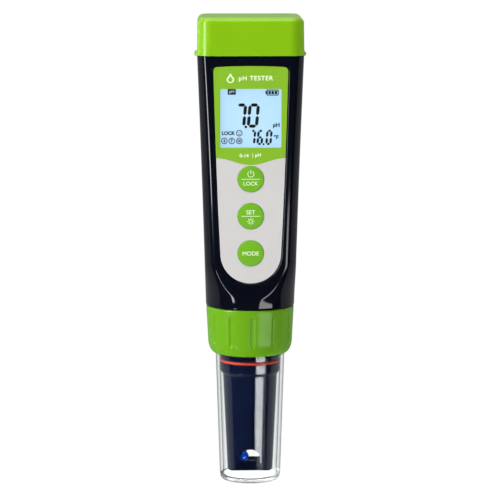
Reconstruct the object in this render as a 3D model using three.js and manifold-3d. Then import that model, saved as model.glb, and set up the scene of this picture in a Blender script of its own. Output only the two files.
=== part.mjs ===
// A hand-held water quality probe: a pocket pH meter with a plug-in electrode.
// Millimetres, +Z up, front towards -Y. The origin is the centre of the storage cap's flat underside.
import * as THREE from "three";
import { mergeVertices } from "three/addons/utils/BufferGeometryUtils.js";
import Module from "manifold-3d";

const wasm = await Module();
wasm.setup();

// ---------------------------------------------------------------- driving dimensions

const WALL = 2; // moulded wall of the housing
const GAP = 0.3; // clearance between pieces that are assembled against each other
const ROUND_STEPS = 32; // facets on a large round piece

// Heights, from the underside of the storage cap to the top of the pull-off cap
const TIP_Z = 3.65; // lower end of the electrode stem
const SILL_Z = 7.68; // sill of the flow windows
const ARCH_Z = 12.95; // crown of the flow windows
const CHAMBER_Z = 14.5; // ceiling of the sensing chamber
const STEM_TOP_Z = 41.1;
const COLLAR_Z = 42.5; // lower edge of the collar that the storage cap slides on
const CAP_SEAL_Z = 46.4;
const CUP_TOP_Z = 49.0;
const RING_Z = 49.4;
const FLANGE_Z = 53.2;
const NECK_Z = 56.3; // lower face of the housing's threaded neck
const SHOULDER_Z = 68; // lower edge of the housing's outer skin
const FLOOR_Z = 73; // inner floor of the housing
const HOUSING_TOP_Z = 164.1;
const TOP_CAP_Z = 164.4;
const SPIGOT_TOP_Z = 169.5; // rim that the pull-off cap plugs over
const TOP_Z = 178;

// Housing section: a square with round corners that turns round towards its foot
const FOOT_HALF = 16.86;
const TAPER = 0.025;
const FLARE = 0.00008;
const FULL_CORNER_Z = 86; // above this height the section is fully square
const CORNER_AT_FULL = 8.1;
const CORNER_TAPER = 0.0217;
const CORNER_STEPS = 7;
const INNER_STEPS = 4; // inner corners need fewer facets

// Flat front face, leaning out a little towards the top
const FACE_FOOT_Z = 82;
const FACE_FOOT_DEPTH = 16;
const FACE_SLOPE = 0.0385;
const FACE_TILT = Math.atan(FACE_SLOPE);
const FACE_Z = 118; // height of the face frame's origin
const SWEEP_Z = 80; // below this height the face sweeps out to meet the skin
const SWEEP_END_Z = 71;
const SWEEP = 0.00307;

// Things on the face, in the face's own frame: across, up, and out of the face
const RECESS = 1.0;
const OVERLAY_THICKNESS = 0.6;
const LABEL_TOP_Z = 159.7;
const LABEL_TOP_HALF = 13.9;
const LABEL_MID_Z = 116.25;
const LABEL_MID_HALF = 12.83;
const LABEL_FOOT_Z = 89.5; // centre of the label's round foot
const LABEL_FOOT_RADIUS = 11.4;
const LABEL_CORNER = 1.8;
const DISPLAY = { half: 11.36, low: 129.5, high: 151.5, corner: 0.6 };
const LCD = { half: 12.5, low: 128.0, high: 153.0 };
const KEY_HEIGHTS = { power: 117.7, calibrate: 103.7, unit: 89.6 };
const KEY_RADIUS = 4.95;
const KEY_TRAVEL = 0.4;
const PLUNGER_RADIUS = 2;
const BOARD_OUT = -5.5; // front surface of the circuit board
const BOARD_THICKNESS = 1.2;
const BOARD = { half: 12.3, low: 80, high: 158 };
const BOSSES = [[10.2, 155.6], [-10.2, 155.6], [9.2, 97], [-9.2, 97]];

// Union thread between the housing's neck and the locking ring
const PITCH = 2.5;
const NECK_ROOT = 14.0;
const NECK_CREST = 14.85;
const RING_ROOT = 15.1;
const RING_CREST = 14.35;
const THREAD_LOW = 59;
const THREAD_TURNS = 2;
const THREAD_STEPS = 16; // per turn
const NECK_BORE = 11.9;

// Electrode
const COLLAR_RADIUS = 11.41;
const FLANGE_RADIUS = 14.0;
const STEM_RADIUS = 10.37;
const TIP_RADIUS = 8.65;
const FOOT_GAP = 7.5;
const BULB = { x: -2.9, z: 8.4, radius: 2.45, neck: 1.6, glass: 0.4 };
const PLUG_RADIUS = 8.7;
const PLUG_TOP_Z = 60.2;
const PIN_CIRCLE = 5;
const PIN_RADIUS = 0.5;
const PIN_COUNT = 4;

// Batteries, four side by side, standing
const CELL_RADIUS = 5.25;
const CELL_LENGTH = 44.2;
const CELL_PITCH = 11.2;
const CELL_Z = 123.6;
const HOLDER_Y = 3.9; // centre of the battery holder, towards the back
const HOLDER_HALF = 11.7;
const HOLDER_Z = 118.5;
const HOLDER_TOP_Z = 167.2;
const LID_TABS = [-2.5, 8.5]; // the lid's tabs hook under the holder's lips at these depths

// ---------------------------------------------------------------- solids and shapes

/** A closed three.js geometry as a solid that can be joined and cut. */
function solid(geometry) {
  const bare = new THREE.BufferGeometry();
  bare.setAttribute("position", geometry.getAttribute("position").clone());
  bare.setIndex(geometry.index ? geometry.index.clone() : null);
  const merged = mergeVertices(bare, 1e-4);
  return new wasm.Manifold(
    new wasm.Mesh({
      numProp: 3,
      vertProperties: merged.attributes.position.array,
      triVerts: new Uint32Array(merged.index.array),
    }),
  );
}

/** The three.js geometry of a solid, with the slivers that cutting leaves in flat faces merged. */
function geometryOf(made) {
  const mesh = made.asOriginal().simplify(0.004).getMesh();
  const geometry = new THREE.BufferGeometry();
  geometry.setAttribute("position", new THREE.BufferAttribute(mesh.vertProperties, 3));
  geometry.setIndex(new THREE.BufferAttribute(mesh.triVerts, 1));
  return geometry;
}

const join = (...solids) => solids.reduce((all, one) => all.add(one));
const cut = (body, ...tools) => tools.reduce((left, tool) => left.subtract(tool), body);

/** A solid of revolution about +Z from [radius, height] pairs, listed from the foot upwards and round. */
function turned(profile, steps = ROUND_STEPS) {
  const points = profile.map(([radius, z]) => new THREE.Vector2(radius, z));
  const start = Math.PI / steps;
  return new THREE.LatheGeometry(points, steps, start, 2 * Math.PI).rotateX(Math.PI / 2);
}

/** A ring of rectangular section about +Z. */
function tube(inner, outer, low, high, steps = ROUND_STEPS) {
  const corners = [[inner, low], [outer, low], [outer, high], [inner, high], [inner, low]];
  return turned(corners, steps);
}

/** A round bar along +Z, standing at (x, y). */
function bar(x, y, radius, low, high, steps = 16) {
  const profile = [[0, low], [radius, low], [radius, high], [0, high]];
  return turned(profile, steps).translate(x, y, 0);
}

/** A box from its lowest to its highest corner. */
function block(low, high) {
  const size = high.map((value, axis) => value - low[axis]);
  const middle = high.map((value, axis) => (value + low[axis]) / 2);
  return new THREE.BoxGeometry(...size).translate(...middle);
}

/** A flat outline pushed up from one height to another. */
function prism(shape, low, high, curveSegments = 6) {
  const options = { depth: high - low, bevelEnabled: false, curveSegments };
  return new THREE.ExtrudeGeometry(shape, options).translate(0, 0, low);
}

/** A rectangle with round corners, as points, counter-clockwise seen from +Z. */
function roundedSection(halfX, halfY, radius, steps = CORNER_STEPS) {
  const points = [];
  const centres = [[1, 1], [-1, 1], [-1, -1], [1, -1]];
  centres.forEach(([sx, sy], quarter) => {
    for (let i = 0; i < steps; i++) {
      const angle = (quarter + i / (steps - 1)) * (Math.PI / 2);
      points.push(
        new THREE.Vector2(
          sx * (halfX - radius) + radius * Math.cos(angle),
          sy * (halfY - radius) + radius * Math.sin(angle),
        ),
      );
    }
  });
  return points;
}

/** A closed solid through a stack of convex outlines { z, points } with equal numbers of points. */
function loft(layers) {
  const count = layers[0].points.length;
  const position = layers.flatMap(({ z, points }) => points.flatMap((p) => [p.x, p.y, z]));
  const index = [];
  for (let level = 0; level + 1 < layers.length; level++) {
    for (let i = 0; i < count; i++) {
      const a = level * count + i;
      const b = level * count + ((i + 1) % count);
      index.push(a, b, b + count, a, b + count, a + count);
    }
  }
  const top = (layers.length - 1) * count;
  for (let i = 1; i + 1 < count; i++) {
    index.push(0, i + 1, i, top, top + i, top + i + 1);
  }
  const geometry = new THREE.BufferGeometry();
  geometry.setAttribute("position", new THREE.Float32BufferAttribute(position, 3));
  geometry.setIndex(index);
  return geometry;
}

/** A bar of constant convex section swept up a helix: section points are [radius, height]. */
function helix(section, turns, pitch, startHeight, startAngle) {
  const steps = Math.round(turns * THREAD_STEPS);
  const count = section.length;
  const position = [];
  const index = [];
  for (let k = 0; k <= steps; k++) {
    const angle = startAngle + (k / THREAD_STEPS) * 2 * Math.PI;
    const rise = startHeight + (k / THREAD_STEPS) * pitch;
    for (const [radius, z] of section) {
      position.push(radius * Math.cos(angle), radius * Math.sin(angle), z + rise);
    }
  }
  for (let k = 0; k < steps; k++) {
    for (let i = 0; i < count; i++) {
      const a = k * count + i;
      const b = k * count + ((i + 1) % count);
      index.push(a, b + count, b, a, a + count, b + count);
    }
  }
  const last = steps * count;
  for (let i = 1; i + 1 < count; i++) {
    index.push(0, i, i + 1, last, last + i + 1, last + i);
  }
  const geometry = new THREE.BufferGeometry();
  geometry.setAttribute("position", new THREE.Float32BufferAttribute(position, 3));
  geometry.setIndex(index);
  return geometry;
}

// ---------------------------------------------------------------- the assembly and its finishes

const probe = new THREE.Group();
const face = new THREE.Group();
face.position.set(0, -faceDepthAt(FACE_Z), FACE_Z);
face.rotation.x = Math.PI / 2 + FACE_TILT;
face.updateMatrix();
probe.add(face);

const finish = (color, roughness, metalness = 0, extra = {}) =>
  new THREE.MeshStandardMaterial({ color, roughness, metalness, ...extra });

const BLACK_ABS = finish(0x0a0d18, 0.14);
const GREEN_ABS = finish(0x86bc1a, 0.2);
const OVERLAY_FILM = finish(0xd3d1d0, 0.35);
const KEY_FILM = finish(0x78bf16, 0.35);
const CLEAR_WINDOW = finish(0xf2f8ff, 0.05, 0, { transparent: true, opacity: 0.25 });
const LCD_GLASS = finish(0xbfe2ff, 0.15);
const WHITE_PLASTIC = finish(0xf0f0ec, 0.5);
const ZEBRA_RUBBER = finish(0x55585c, 0.8);
const BOARD_GREEN = finish(0x1c5a34, 0.45);
const CHIP_BLACK = finish(0x1a1a1c, 0.5);
const STEEL = finish(0xb8bcc0, 0.3, 1);
const HOLDER_PLASTIC = finish(0x2b2d31, 0.55);
const CELL_JACKET = finish(0x3c4a55, 0.3, 0.4);
const NICKEL = finish(0xcfccc2, 0.25, 1);
const GOLD = finish(0xd8a94a, 0.25, 1);
const BLACK_RUBBER = finish(0x17181a, 0.75);
const RED_SILICONE = finish(0xd8432c, 0.45);
const NAVY_PLASTIC = finish(0x12182c, 0.12);
const NYLON = finish(0xe6e2d6, 0.5);
const ELECTRODE_GLASS = finish(0xcfe6ff, 0.05, 0, { transparent: true, opacity: 0.4 });
const BLUE_ELECTROLYTE = finish(0x0b4fc4, 0.2);
const SILVER_WIRE = finish(0xc9c9cc, 0.35, 1);
const POROUS_CERAMIC = finish(0xf4f2ec, 0.85);
const EPOXY = finish(0x20242e, 0.4);
const CLEAR_PLASTIC = finish(0xf7fafc, 0.04, 0, { transparent: true, opacity: 0.3 });
const STICKER = finish(0xb9bdc2, 0.5);

/** Adds one named piece to the assembly, or to the tilted face. */
function add(name, shape, material, parent = probe) {
  const geometry = shape.isBufferGeometry ? shape : geometryOf(shape);
  const mesh = new THREE.Mesh(geometry, material);
  mesh.name = name;
  parent.add(mesh);
  return mesh;
}

// ---------------------------------------------------------------- housing

function halfAt(z) {
  const rise = z - SHOULDER_Z;
  return FOOT_HALF + TAPER * rise + FLARE * rise * rise;
}

function cornerAt(z) {
  const square = CORNER_AT_FULL - CORNER_TAPER * (z - FULL_CORNER_Z);
  const round = halfAt(z) - 0.02;
  return THREE.MathUtils.lerp(round, square, THREE.MathUtils.smoothstep(z, SHOULDER_Z, FULL_CORNER_Z));
}

function faceDepthAt(z) {
  return FACE_FOOT_DEPTH + FACE_SLOPE * (z - FACE_FOOT_Z);
}

/** The housing's section at a height, moved inwards by an inset. */
function housingLayer(z, inset = 0) {
  const half = halfAt(z) - inset;
  const steps = inset > 0 ? INNER_STEPS : CORNER_STEPS;
  return { z, points: roundedSection(half, half, Math.max(cornerAt(z) - inset, 1), steps) };
}

/** Moves a geometry from the face's own frame to the assembly's. */
const onFace = (geometry) => geometry.clone().applyMatrix4(face.matrix);

/** How far up the face a height of the assembly lies. */
const up = (z) => (z - FACE_Z) / Math.cos(FACE_TILT);

/** The space in front of the flat face, with the sweep at its foot. */
function faceCutter(inset = 0) {
  const profile = new THREE.Shape();
  const far = -40;
  profile.moveTo(far, SWEEP_END_Z);
  for (let z = SWEEP_END_Z; z <= SWEEP_Z; z += 1.5) {
    const sweep = SWEEP * (SWEEP_Z - z) ** 3;
    profile.lineTo(-(faceDepthAt(z) + sweep - inset), z);
  }
  profile.lineTo(-(faceDepthAt(TOP_Z) - inset), TOP_Z);
  profile.lineTo(far, TOP_Z);
  const side = new THREE.Matrix4().makeBasis(
    new THREE.Vector3(0, 1, 0),
    new THREE.Vector3(0, 0, 1),
    new THREE.Vector3(1, 0, 0),
  );
  return prism(profile, -30, 30).applyMatrix4(side);
}

/** The label's outline on the face, grown outwards by a margin. */
function labelShape(grow = 0) {
  const top = up(LABEL_TOP_Z) + grow;
  const half = LABEL_TOP_HALF + grow;
  const corner = LABEL_CORNER + grow;
  const foot = LABEL_FOOT_RADIUS + grow;
  const bow = 0.35; // the top edge is very slightly arched
  const shape = new THREE.Shape();
  shape.moveTo(-half + corner, top);
  shape.quadraticCurveTo(-half, top, -half, top - corner);
  shape.quadraticCurveTo(-LABEL_MID_HALF - grow, up(LABEL_MID_Z), -foot, up(LABEL_FOOT_Z));
  shape.absarc(0, up(LABEL_FOOT_Z), foot, Math.PI, 2 * Math.PI, false);
  shape.quadraticCurveTo(LABEL_MID_HALF + grow, up(LABEL_MID_Z), half, top - corner);
  shape.quadraticCurveTo(half, top, half - corner, top);
  shape.quadraticCurveTo(0, top + 2 * bow, -half + corner, top);
  return shape;
}

/** A rectangle with round corners on the face, from heights of the assembly. */
function faceRectangle(half, low, high, corner, PathClass = THREE.Shape) {
  const middle = (up(low) + up(high)) / 2;
  const points = roundedSection(half, (up(high) - up(low)) / 2, corner, 4);
  return new PathClass(points.map((p) => new THREE.Vector2(p.x, p.y + middle)));
}

/** A disc or hole on the face at a height of the assembly. */
function faceDisc(x, z, radius, PathClass = THREE.Shape) {
  return new PathClass().absarc(x, up(z), radius, 0, 2 * Math.PI, false);
}

function makeHousing() {
  const levels = [SHOULDER_Z, 71, 74, 77, 80, 83, FULL_CORNER_Z, 104, 136, HOUSING_TOP_Z];
  const skin = solid(loft(levels.map((z) => housingLayer(z))));
  const cavityLevels = [FLOOR_Z, 77, 81, FULL_CORNER_Z, 136, HOUSING_TOP_Z + 1];
  const cavity = cut(
    solid(loft(cavityLevels.map((z) => housingLayer(z, WALL)))),
    solid(faceCutter(WALL + RECESS)),
  );
  const spigotHalf = 17.7;
  const spigotCorner = 5;
  const spigotWall = 1.8;
  const grooveLow = 166;
  const grooveHigh = 167.6;
  const spigot = (half, low, high) =>
    solid(
      loft([low, high].map((z) => ({
        z,
        points: roundedSection(half, half, half - spigotHalf + spigotCorner, INNER_STEPS),
      }))),
    );
  const rim = cut(
    spigot(spigotHalf, HOUSING_TOP_Z - 1, SPIGOT_TOP_Z),
    cut(spigot(spigotHalf + 1, grooveLow, grooveHigh), spigot(spigotHalf - 0.8, grooveLow, grooveHigh)),
  );
  const rimBore = spigot(spigotHalf - spigotWall, HOUSING_TOP_Z - 2, SPIGOT_TOP_Z + 1);
  const neck = solid(tube(NECK_BORE, NECK_ROOT, NECK_Z, SHOULDER_Z + 3));
  const neckBore = solid(bar(0, 0, NECK_BORE, NECK_Z - 1, 70.6, ROUND_STEPS));
  const socketSeat = solid(bar(0, 0, 9.3, 70, FLOOR_Z + 1, 24));
  const sealGroove = solid(tube(12.4, 13.7, NECK_Z - 1, NECK_Z + 1));
  const ridge = [[NECK_ROOT - 0.5, -0.75], [NECK_CREST, -0.35], [NECK_CREST, 0.35], [NECK_ROOT - 0.5, 0.75]];
  const thread = solid(helix(ridge, THREAD_TURNS, PITCH, THREAD_LOW, 0));
  const bosses = BOSSES.map(([x, z]) =>
    solid(onFace(prism(faceDisc(x, z, 2.1), BOARD_OUT + GAP, -RECESS - WALL / 2))),
  );
  const pilots = BOSSES.map(([x, z]) =>
    solid(onFace(prism(faceDisc(x, z, 0.95), BOARD_OUT - 1, -RECESS - 1))),
  );
  const ledges = [-1, 1].map((side) =>
    solid(block([side * 9 - 2, 9, HOLDER_Z - 9], [side * 9 + 2, halfAt(HOLDER_Z) - 1, HOLDER_Z - GAP])),
  );
  const recess = solid(onFace(prism(labelShape(0.35), -RECESS, 5)));
  const lcdHole = solid(
    onFace(prism(faceRectangle(LCD.half + GAP, LCD.low - GAP, LCD.high + GAP, 0.6), -8, 1)),
  );
  const plungerHoles = Object.values(KEY_HEIGHTS).map((z) =>
    solid(onFace(prism(faceDisc(0, z, PLUNGER_RADIUS + 0.4), -8, 1))),
  );
  const shell = cut(join(skin, rim, solid(bar(0, 0, NECK_ROOT, NECK_Z, SHOULDER_Z + 3, ROUND_STEPS))),
    cavity, rimBore, solid(faceCutter()));
  const drilled = cut(join(shell, neck, ...bosses, ...ledges), neckBore, socketSeat, sealGroove, recess, lcdHole);
  add("housing", cut(join(drilled, thread), neckBore, ...plungerHoles, ...pilots), BLACK_ABS);

  const gasketHalf = spigotHalf + 0.25;
  const gasket = cut(
    spigot(gasketHalf, grooveLow + 0.15, grooveHigh - 0.15),
    spigot(spigotHalf - 0.7, grooveLow, grooveHigh),
  );
  add("cap_gasket", gasket, BLACK_RUBBER);
  add("neck_seal", seal(13.05, NECK_Z + 0.15, 0.5), BLACK_RUBBER);
  makeBackLabel();
}

/** An O-ring about +Z, from its middle radius, height and cord radius. */
function seal(radius, z, cord, steps = 24) {
  const profile = [];
  const sides = 6;
  for (let i = 0; i <= sides; i++) {
    const angle = ((i % sides) / sides) * 2 * Math.PI;
    profile.push([radius + cord * Math.cos(angle), z + cord * Math.sin(angle)]);
  }
  return turned(profile, steps);
}

/** A plain rating label on the back, standing just clear of the skin. */
function makeBackLabel() {
  const low = 96;
  const high = 138;
  const half = 9.5;
  const slope = (halfAt(high) - halfAt(low)) / (high - low);
  const outline = new THREE.Shape(roundedSection(half, (high - low) / 2, 1.5, 4));
  const label = new THREE.Mesh(prism(outline, 0, 0.25), STICKER);
  label.name = "rating_label";
  label.position.set(0, (halfAt(low) + halfAt(high)) / 2 + 0.08, (low + high) / 2);
  label.rotation.set(-Math.PI / 2 - Math.atan(slope), 0, 0);
  probe.add(label);
}

// ---------------------------------------------------------------- face: overlay, display, keys, board

function makeFace() {
  const outline = labelShape();
  outline.holes.push(
    faceRectangle(DISPLAY.half, DISPLAY.low, DISPLAY.high, DISPLAY.corner, THREE.Path),
    ...Object.values(KEY_HEIGHTS).map((z) => faceDisc(0, z, KEY_RADIUS + 0.2, THREE.Path)),
  );
  add("face_overlay", prism(outline, -OVERLAY_THICKNESS, 0, 10), OVERLAY_FILM, face);

  const pane = faceRectangle(DISPLAY.half - 0.15, DISPLAY.low + 0.15, DISPLAY.high - 0.15, DISPLAY.corner);
  add("display_window", prism(pane, -OVERLAY_THICKNESS, 0), CLEAR_WINDOW, face);
  const panel = faceRectangle(LCD.half, LCD.low, LCD.high, 0.3);
  add("lcd_panel", prism(panel, -2.4, -OVERLAY_THICKNESS - GAP), LCD_GLASS, face);
  const glow = faceRectangle(11.2, 131, 152, 0.5);
  add("backlight", prism(glow, BOARD_OUT + GAP, -2.4 - GAP), WHITE_PLASTIC, face);
  const strip = faceRectangle(11.2, 128.6, 130.4, 0.3);
  add("zebra_strip", prism(strip, BOARD_OUT + GAP, -2.4 - GAP), ZEBRA_RUBBER, face);
  const frameOutline = faceRectangle(12.2, 127.6, 153.4, 0.8);
  frameOutline.holes.push(faceRectangle(11.5, 128.3, 152.3, 0.5, THREE.Path));
  add("lcd_frame", prism(frameOutline, BOARD_OUT + GAP, -3 - GAP), WHITE_PLASTIC, face);

  for (const [name, z] of Object.entries(KEY_HEIGHTS)) makeKey(name, z);
  makeBoard();
}

/** One key: a domed film button, the rubber plunger behind it, and the switch that it works. */
function makeKey(name, z) {
  const rim = 0.15;
  const dome = turned(
    [[0, -0.4], [KEY_RADIUS, -0.4], [KEY_RADIUS, rim], [KEY_RADIUS - 0.7, 0.3], [0, 0.4]],
    24,
  ).translate(0, up(z), 0);
  add(name + "_key", dome, KEY_FILM, face);
  const plunger = bar(0, up(z), PLUNGER_RADIUS, -2.9, -0.4 - GAP, 14);
  add(name + "_plunger", plunger, BLACK_RUBBER, face);
  const switchTop = -2.9 - KEY_TRAVEL - 0.2;
  const base = block([-3, up(z) - 3, BOARD_OUT + GAP], [3, up(z) + 3, switchTop - 0.5]);
  const button = bar(0, up(z), 1.6, switchTop - 0.8, switchTop, 12);
  add(name + "_switch", join(solid(base), solid(button)), STEEL, face);
}

function makeBoard() {
  const outline = faceRectangle(BOARD.half, BOARD.low, BOARD.high, 1.5);
  outline.holes.push(...BOSSES.map(([x, z]) => faceDisc(x, z, 1.25, THREE.Path)));
  const back = BOARD_OUT - BOARD_THICKNESS;
  add("main_board", prism(outline, back, BOARD_OUT, 5), BOARD_GREEN, face);
  BOSSES.forEach(([x, z], i) => {
    const profile = [[0, 0], [0.8, 0], [0.8, 3.9], [1.9, 3.9], [1.7, 5.1], [0, 5.1]];
    const screw = turned(profile, 12).rotateX(Math.PI);
    add("board_screw_" + (i + 1), screw.translate(x, up(z), back - GAP + 3.9), STEEL, face);
  });
  const chip = block([-4, up(138), back - GAP - 1.4], [4, up(146), back - GAP]);
  add("microcontroller", chip, CHIP_BLACK, face);
}

// ---------------------------------------------------------------- batteries, their holder and lid

const cellCentres = [[-1, -1], [1, -1], [-1, 1], [1, 1]].map(([sx, sy]) => [
  (sx * CELL_PITCH) / 2,
  HOLDER_Y + (sy * CELL_PITCH) / 2,
]);

function makeBatteries() {
  const low = [-HOLDER_HALF, HOLDER_Y - HOLDER_HALF, HOLDER_Z];
  const high = [HOLDER_HALF, HOLDER_Y + HOLDER_HALF, HOLDER_TOP_Z];
  const bores = cellCentres.map(([x, y]) =>
    solid(bar(x, y, CELL_RADIUS + GAP, HOLDER_Z + 1.5, HOLDER_TOP_Z + 1, 18)),
  );
  const centreRelief = solid(bar(0, HOLDER_Y, 1.6, HOLDER_Z - 1, HOLDER_TOP_Z + 1, 8));
  const rails = [-1, 1].map((side) => {
    const post = block([side * 13.9 - 0.8, -6, 163], [side * 13.9 + 0.8, 12, 172]);
    const tie = block([side * 12.6 - 1.4, -6, 163], [side * 12.6 + 1.4, 12, HOLDER_TOP_Z]);
    const lips = LID_TABS.map((y) =>
      solid(block([side * 13.4 - 1.3, y - 1.7, 171], [side * 13.4 + 1.3, y + 1.7, 172])),
    );
    return join(solid(post), solid(tie), ...lips);
  });
  add("battery_holder", cut(join(solid(block(low, high)), ...rails), ...bores, centreRelief), HOLDER_PLASTIC);

  cellCentres.forEach(([x, y], i) => {
    const body = CELL_LENGTH - 0.9;
    const profile = [
      [0, 0], [CELL_RADIUS - 0.3, 0], [CELL_RADIUS, 0.3], [CELL_RADIUS, body],
      [1.9, body], [1.9, CELL_LENGTH], [0, CELL_LENGTH],
    ];
    add("battery_cell_" + (i + 1), turned(profile, 16).translate(x, y, CELL_Z), CELL_JACKET);
    add("contact_spring_" + (i + 1), contactSpring().translate(x, y, HOLDER_Z + 1.8), NICKEL);
  });
}

/** A conical coil spring that presses on a cell's flat end. */
function contactSpring() {
  const turns = 2;
  const height = 2.7;
  const points = [];
  const steps = turns * 8;
  for (let i = 0; i <= steps; i++) {
    const angle = (i / 8) * 2 * Math.PI;
    const radius = 4 - (1.8 * i) / steps;
    points.push(new THREE.Vector3(radius * Math.cos(angle), radius * Math.sin(angle), (height * i) / steps));
  }
  const wire = new THREE.Shape().absarc(0, 0, 0.3, 0, 2 * Math.PI, false);
  const extrudePath = new THREE.CatmullRomCurve3(points);
  const options = { extrudePath, steps, curveSegments: 2, bevelEnabled: false };
  return new THREE.ExtrudeGeometry(wire, options).translate(0, 0, 0.3);
}

function makeBatteryLid() {
  const plate = block([-11.7, -9, 169], [11.7, 15, 170.7]);
  const tabs = LID_TABS.map((y) => solid(block([-12.8, y - 1.5, 169], [12.8, y + 1.5, 170.7])));
  const thumb = [0, 1, 2].map((i) => solid(block([-5, -7 + 2 * i, 170], [5, -6 + 2 * i, 171.4])));
  add("battery_lid", join(solid(plate), ...tabs, ...thumb), HOLDER_PLASTIC);
  for (const [name, side] of [["left", -1], ["right", 1]]) {
    const x = (side * CELL_PITCH) / 2;
    const strip = block([x - 3.5, HOLDER_Y - 9, 168.1], [x + 3.5, HOLDER_Y + 9, 168.6]);
    add("lid_contact_" + name, strip, NICKEL);
  }
}

// ---------------------------------------------------------------- pull-off cap

function makeTopCap() {
  const foot = 20.04;
  const head = 19.85;
  const corner = 5.6;
  const edge = 2.3; // rounding of the upper edge
  const wall = 1.9;
  const layer = (z, half, radius) => ({ z, points: roundedSection(half, half, radius) });
  const outside = [layer(TOP_CAP_Z, foot, corner), layer(TOP_Z - edge, head, corner)];
  for (let i = 1; i <= 4; i++) {
    const angle = (i / 4) * (Math.PI / 2);
    const inset = edge * (1 - Math.cos(angle));
    outside.push(layer(TOP_Z - edge + edge * Math.sin(angle), head - inset, corner - inset));
  }
  const inside = [layer(TOP_CAP_Z - 1, foot - wall, corner - 0.6), layer(TOP_Z - wall, head - wall, corner - 1)];
  const grips = [-1, 1].map((side) => {
    const outline = new THREE.Shape(roundedSection(1.1, 0.95, 0.7, 3));
    const lug = solid(prism(outline, -5, 5).rotateX(Math.PI / 2).translate(side * 20, 0, TOP_CAP_Z));
    const housingRoom = block([-foot - 0.25, -6, TOP_CAP_Z - 2], [foot + 0.25, 6, TOP_CAP_Z]);
    return cut(lug, solid(housingRoom));
  });
  add("top_cap", cut(join(solid(loft(outside)), ...grips), solid(loft(inside))), GREEN_ABS);
}

// ---------------------------------------------------------------- probe socket

function pinCentres() {
  return Array.from({ length: PIN_COUNT }, (_, i) => {
    const angle = ((i + 0.5) / PIN_COUNT) * 2 * Math.PI;
    return [PIN_CIRCLE * Math.cos(angle), PIN_CIRCLE * Math.sin(angle)];
  });
}

function makeSocket() {
  const profile = [[0, 64], [9, 64], [9, FLOOR_Z + GAP], [11, FLOOR_Z + GAP], [11, 75.3], [0, 75.3]];
  const holes = pinCentres().map(([x, y]) => solid(bar(x, y, PIN_RADIUS + GAP, 60, 78, 8)));
  add("probe_socket", cut(solid(turned(profile, 20)), ...holes), CHIP_BLACK);
  pinCentres().forEach(([x, y], i) => {
    add("socket_pin_" + (i + 1), bar(x, y, PIN_RADIUS, 57.2, 77.2, 8), GOLD);
  });
}

// ---------------------------------------------------------------- electrode

/** The window's outline seen from the front: an arch above splayed feet. */
function windowShape() {
  const half = 3.74;
  const spring = ARCH_Z - half;
  const below = 1;
  const shape = new THREE.Shape();
  shape.moveTo(-FOOT_GAP - below, TIP_Z - below);
  shape.lineTo(FOOT_GAP + below, TIP_Z - below);
  shape.lineTo(half, SILL_Z);
  shape.lineTo(half, spring);
  shape.absarc(0, spring, half, 0, Math.PI, false);
  shape.lineTo(-half, SILL_Z);
  return shape;
}

/** The bridge that stays between the front and back windows, set back from both. */
function bridge() {
  return block([-12, -3.8, TIP_Z + 0.3], [12, 3.8, SILL_Z]);
}

function makeProbeBody() {
  const stem = solid(
    turned([
      [0, TIP_Z], [TIP_RADIUS - 0.4, TIP_Z], [TIP_RADIUS, TIP_Z + 0.4],
      [STEM_RADIUS, STEM_TOP_Z], [COLLAR_RADIUS, COLLAR_Z],
      [COLLAR_RADIUS, CAP_SEAL_Z - 0.65], [10.35, CAP_SEAL_Z - 0.65],
      [10.35, CAP_SEAL_Z + 0.65], [COLLAR_RADIUS, CAP_SEAL_Z + 0.65],
      [COLLAR_RADIUS, FLANGE_Z], [FLANGE_RADIUS, FLANGE_Z], [FLANGE_RADIUS, 55.7],
      [11.5, 55.7], [11.5, 61], [0, 61],
    ]),
  );
  const tunnel = prism(windowShape(), -12, 12).rotateX(Math.PI / 2);
  const chamber = solid(
    loft([SILL_Z, CHAMBER_Z].map((z) => ({ z, points: roundedSection(6.7, 5.2, 1.5, 4) }))),
  );
  const well = solid(
    loft([TIP_Z - 1, SILL_Z + 1].map((z) => ({ z, points: roundedSection(6.2, 2.9, 2.5, 4) }))),
  );
  const reservoir = solid(turned([[0, 18], [5.8, 18], [7.4, 40], [9, 44], [9, 62], [0, 62]], 20));
  const holes = [
    bar(BULB.x, 0, BULB.neck + GAP, CHAMBER_Z - 1, 19, 14),
    bar(3.9, 0, 1.1 + GAP, CHAMBER_Z - 1, 19, 12),
    bar(1.2, 3.2, 0.9 + GAP, CHAMBER_Z - 1, 19, 10),
  ].map(solid);
  const tip = cut(solid(tunnel), solid(bridge()));
  add("probe_body", cut(stem, tip, chamber, well, reservoir, ...holes), NAVY_PLASTIC);
  add("slip_washer", tube(12, 14, 52.68, 52.93, 24), NYLON);
  add("cap_seal", seal(11.02, CAP_SEAL_Z, 0.56), RED_SILICONE);
}

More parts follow.
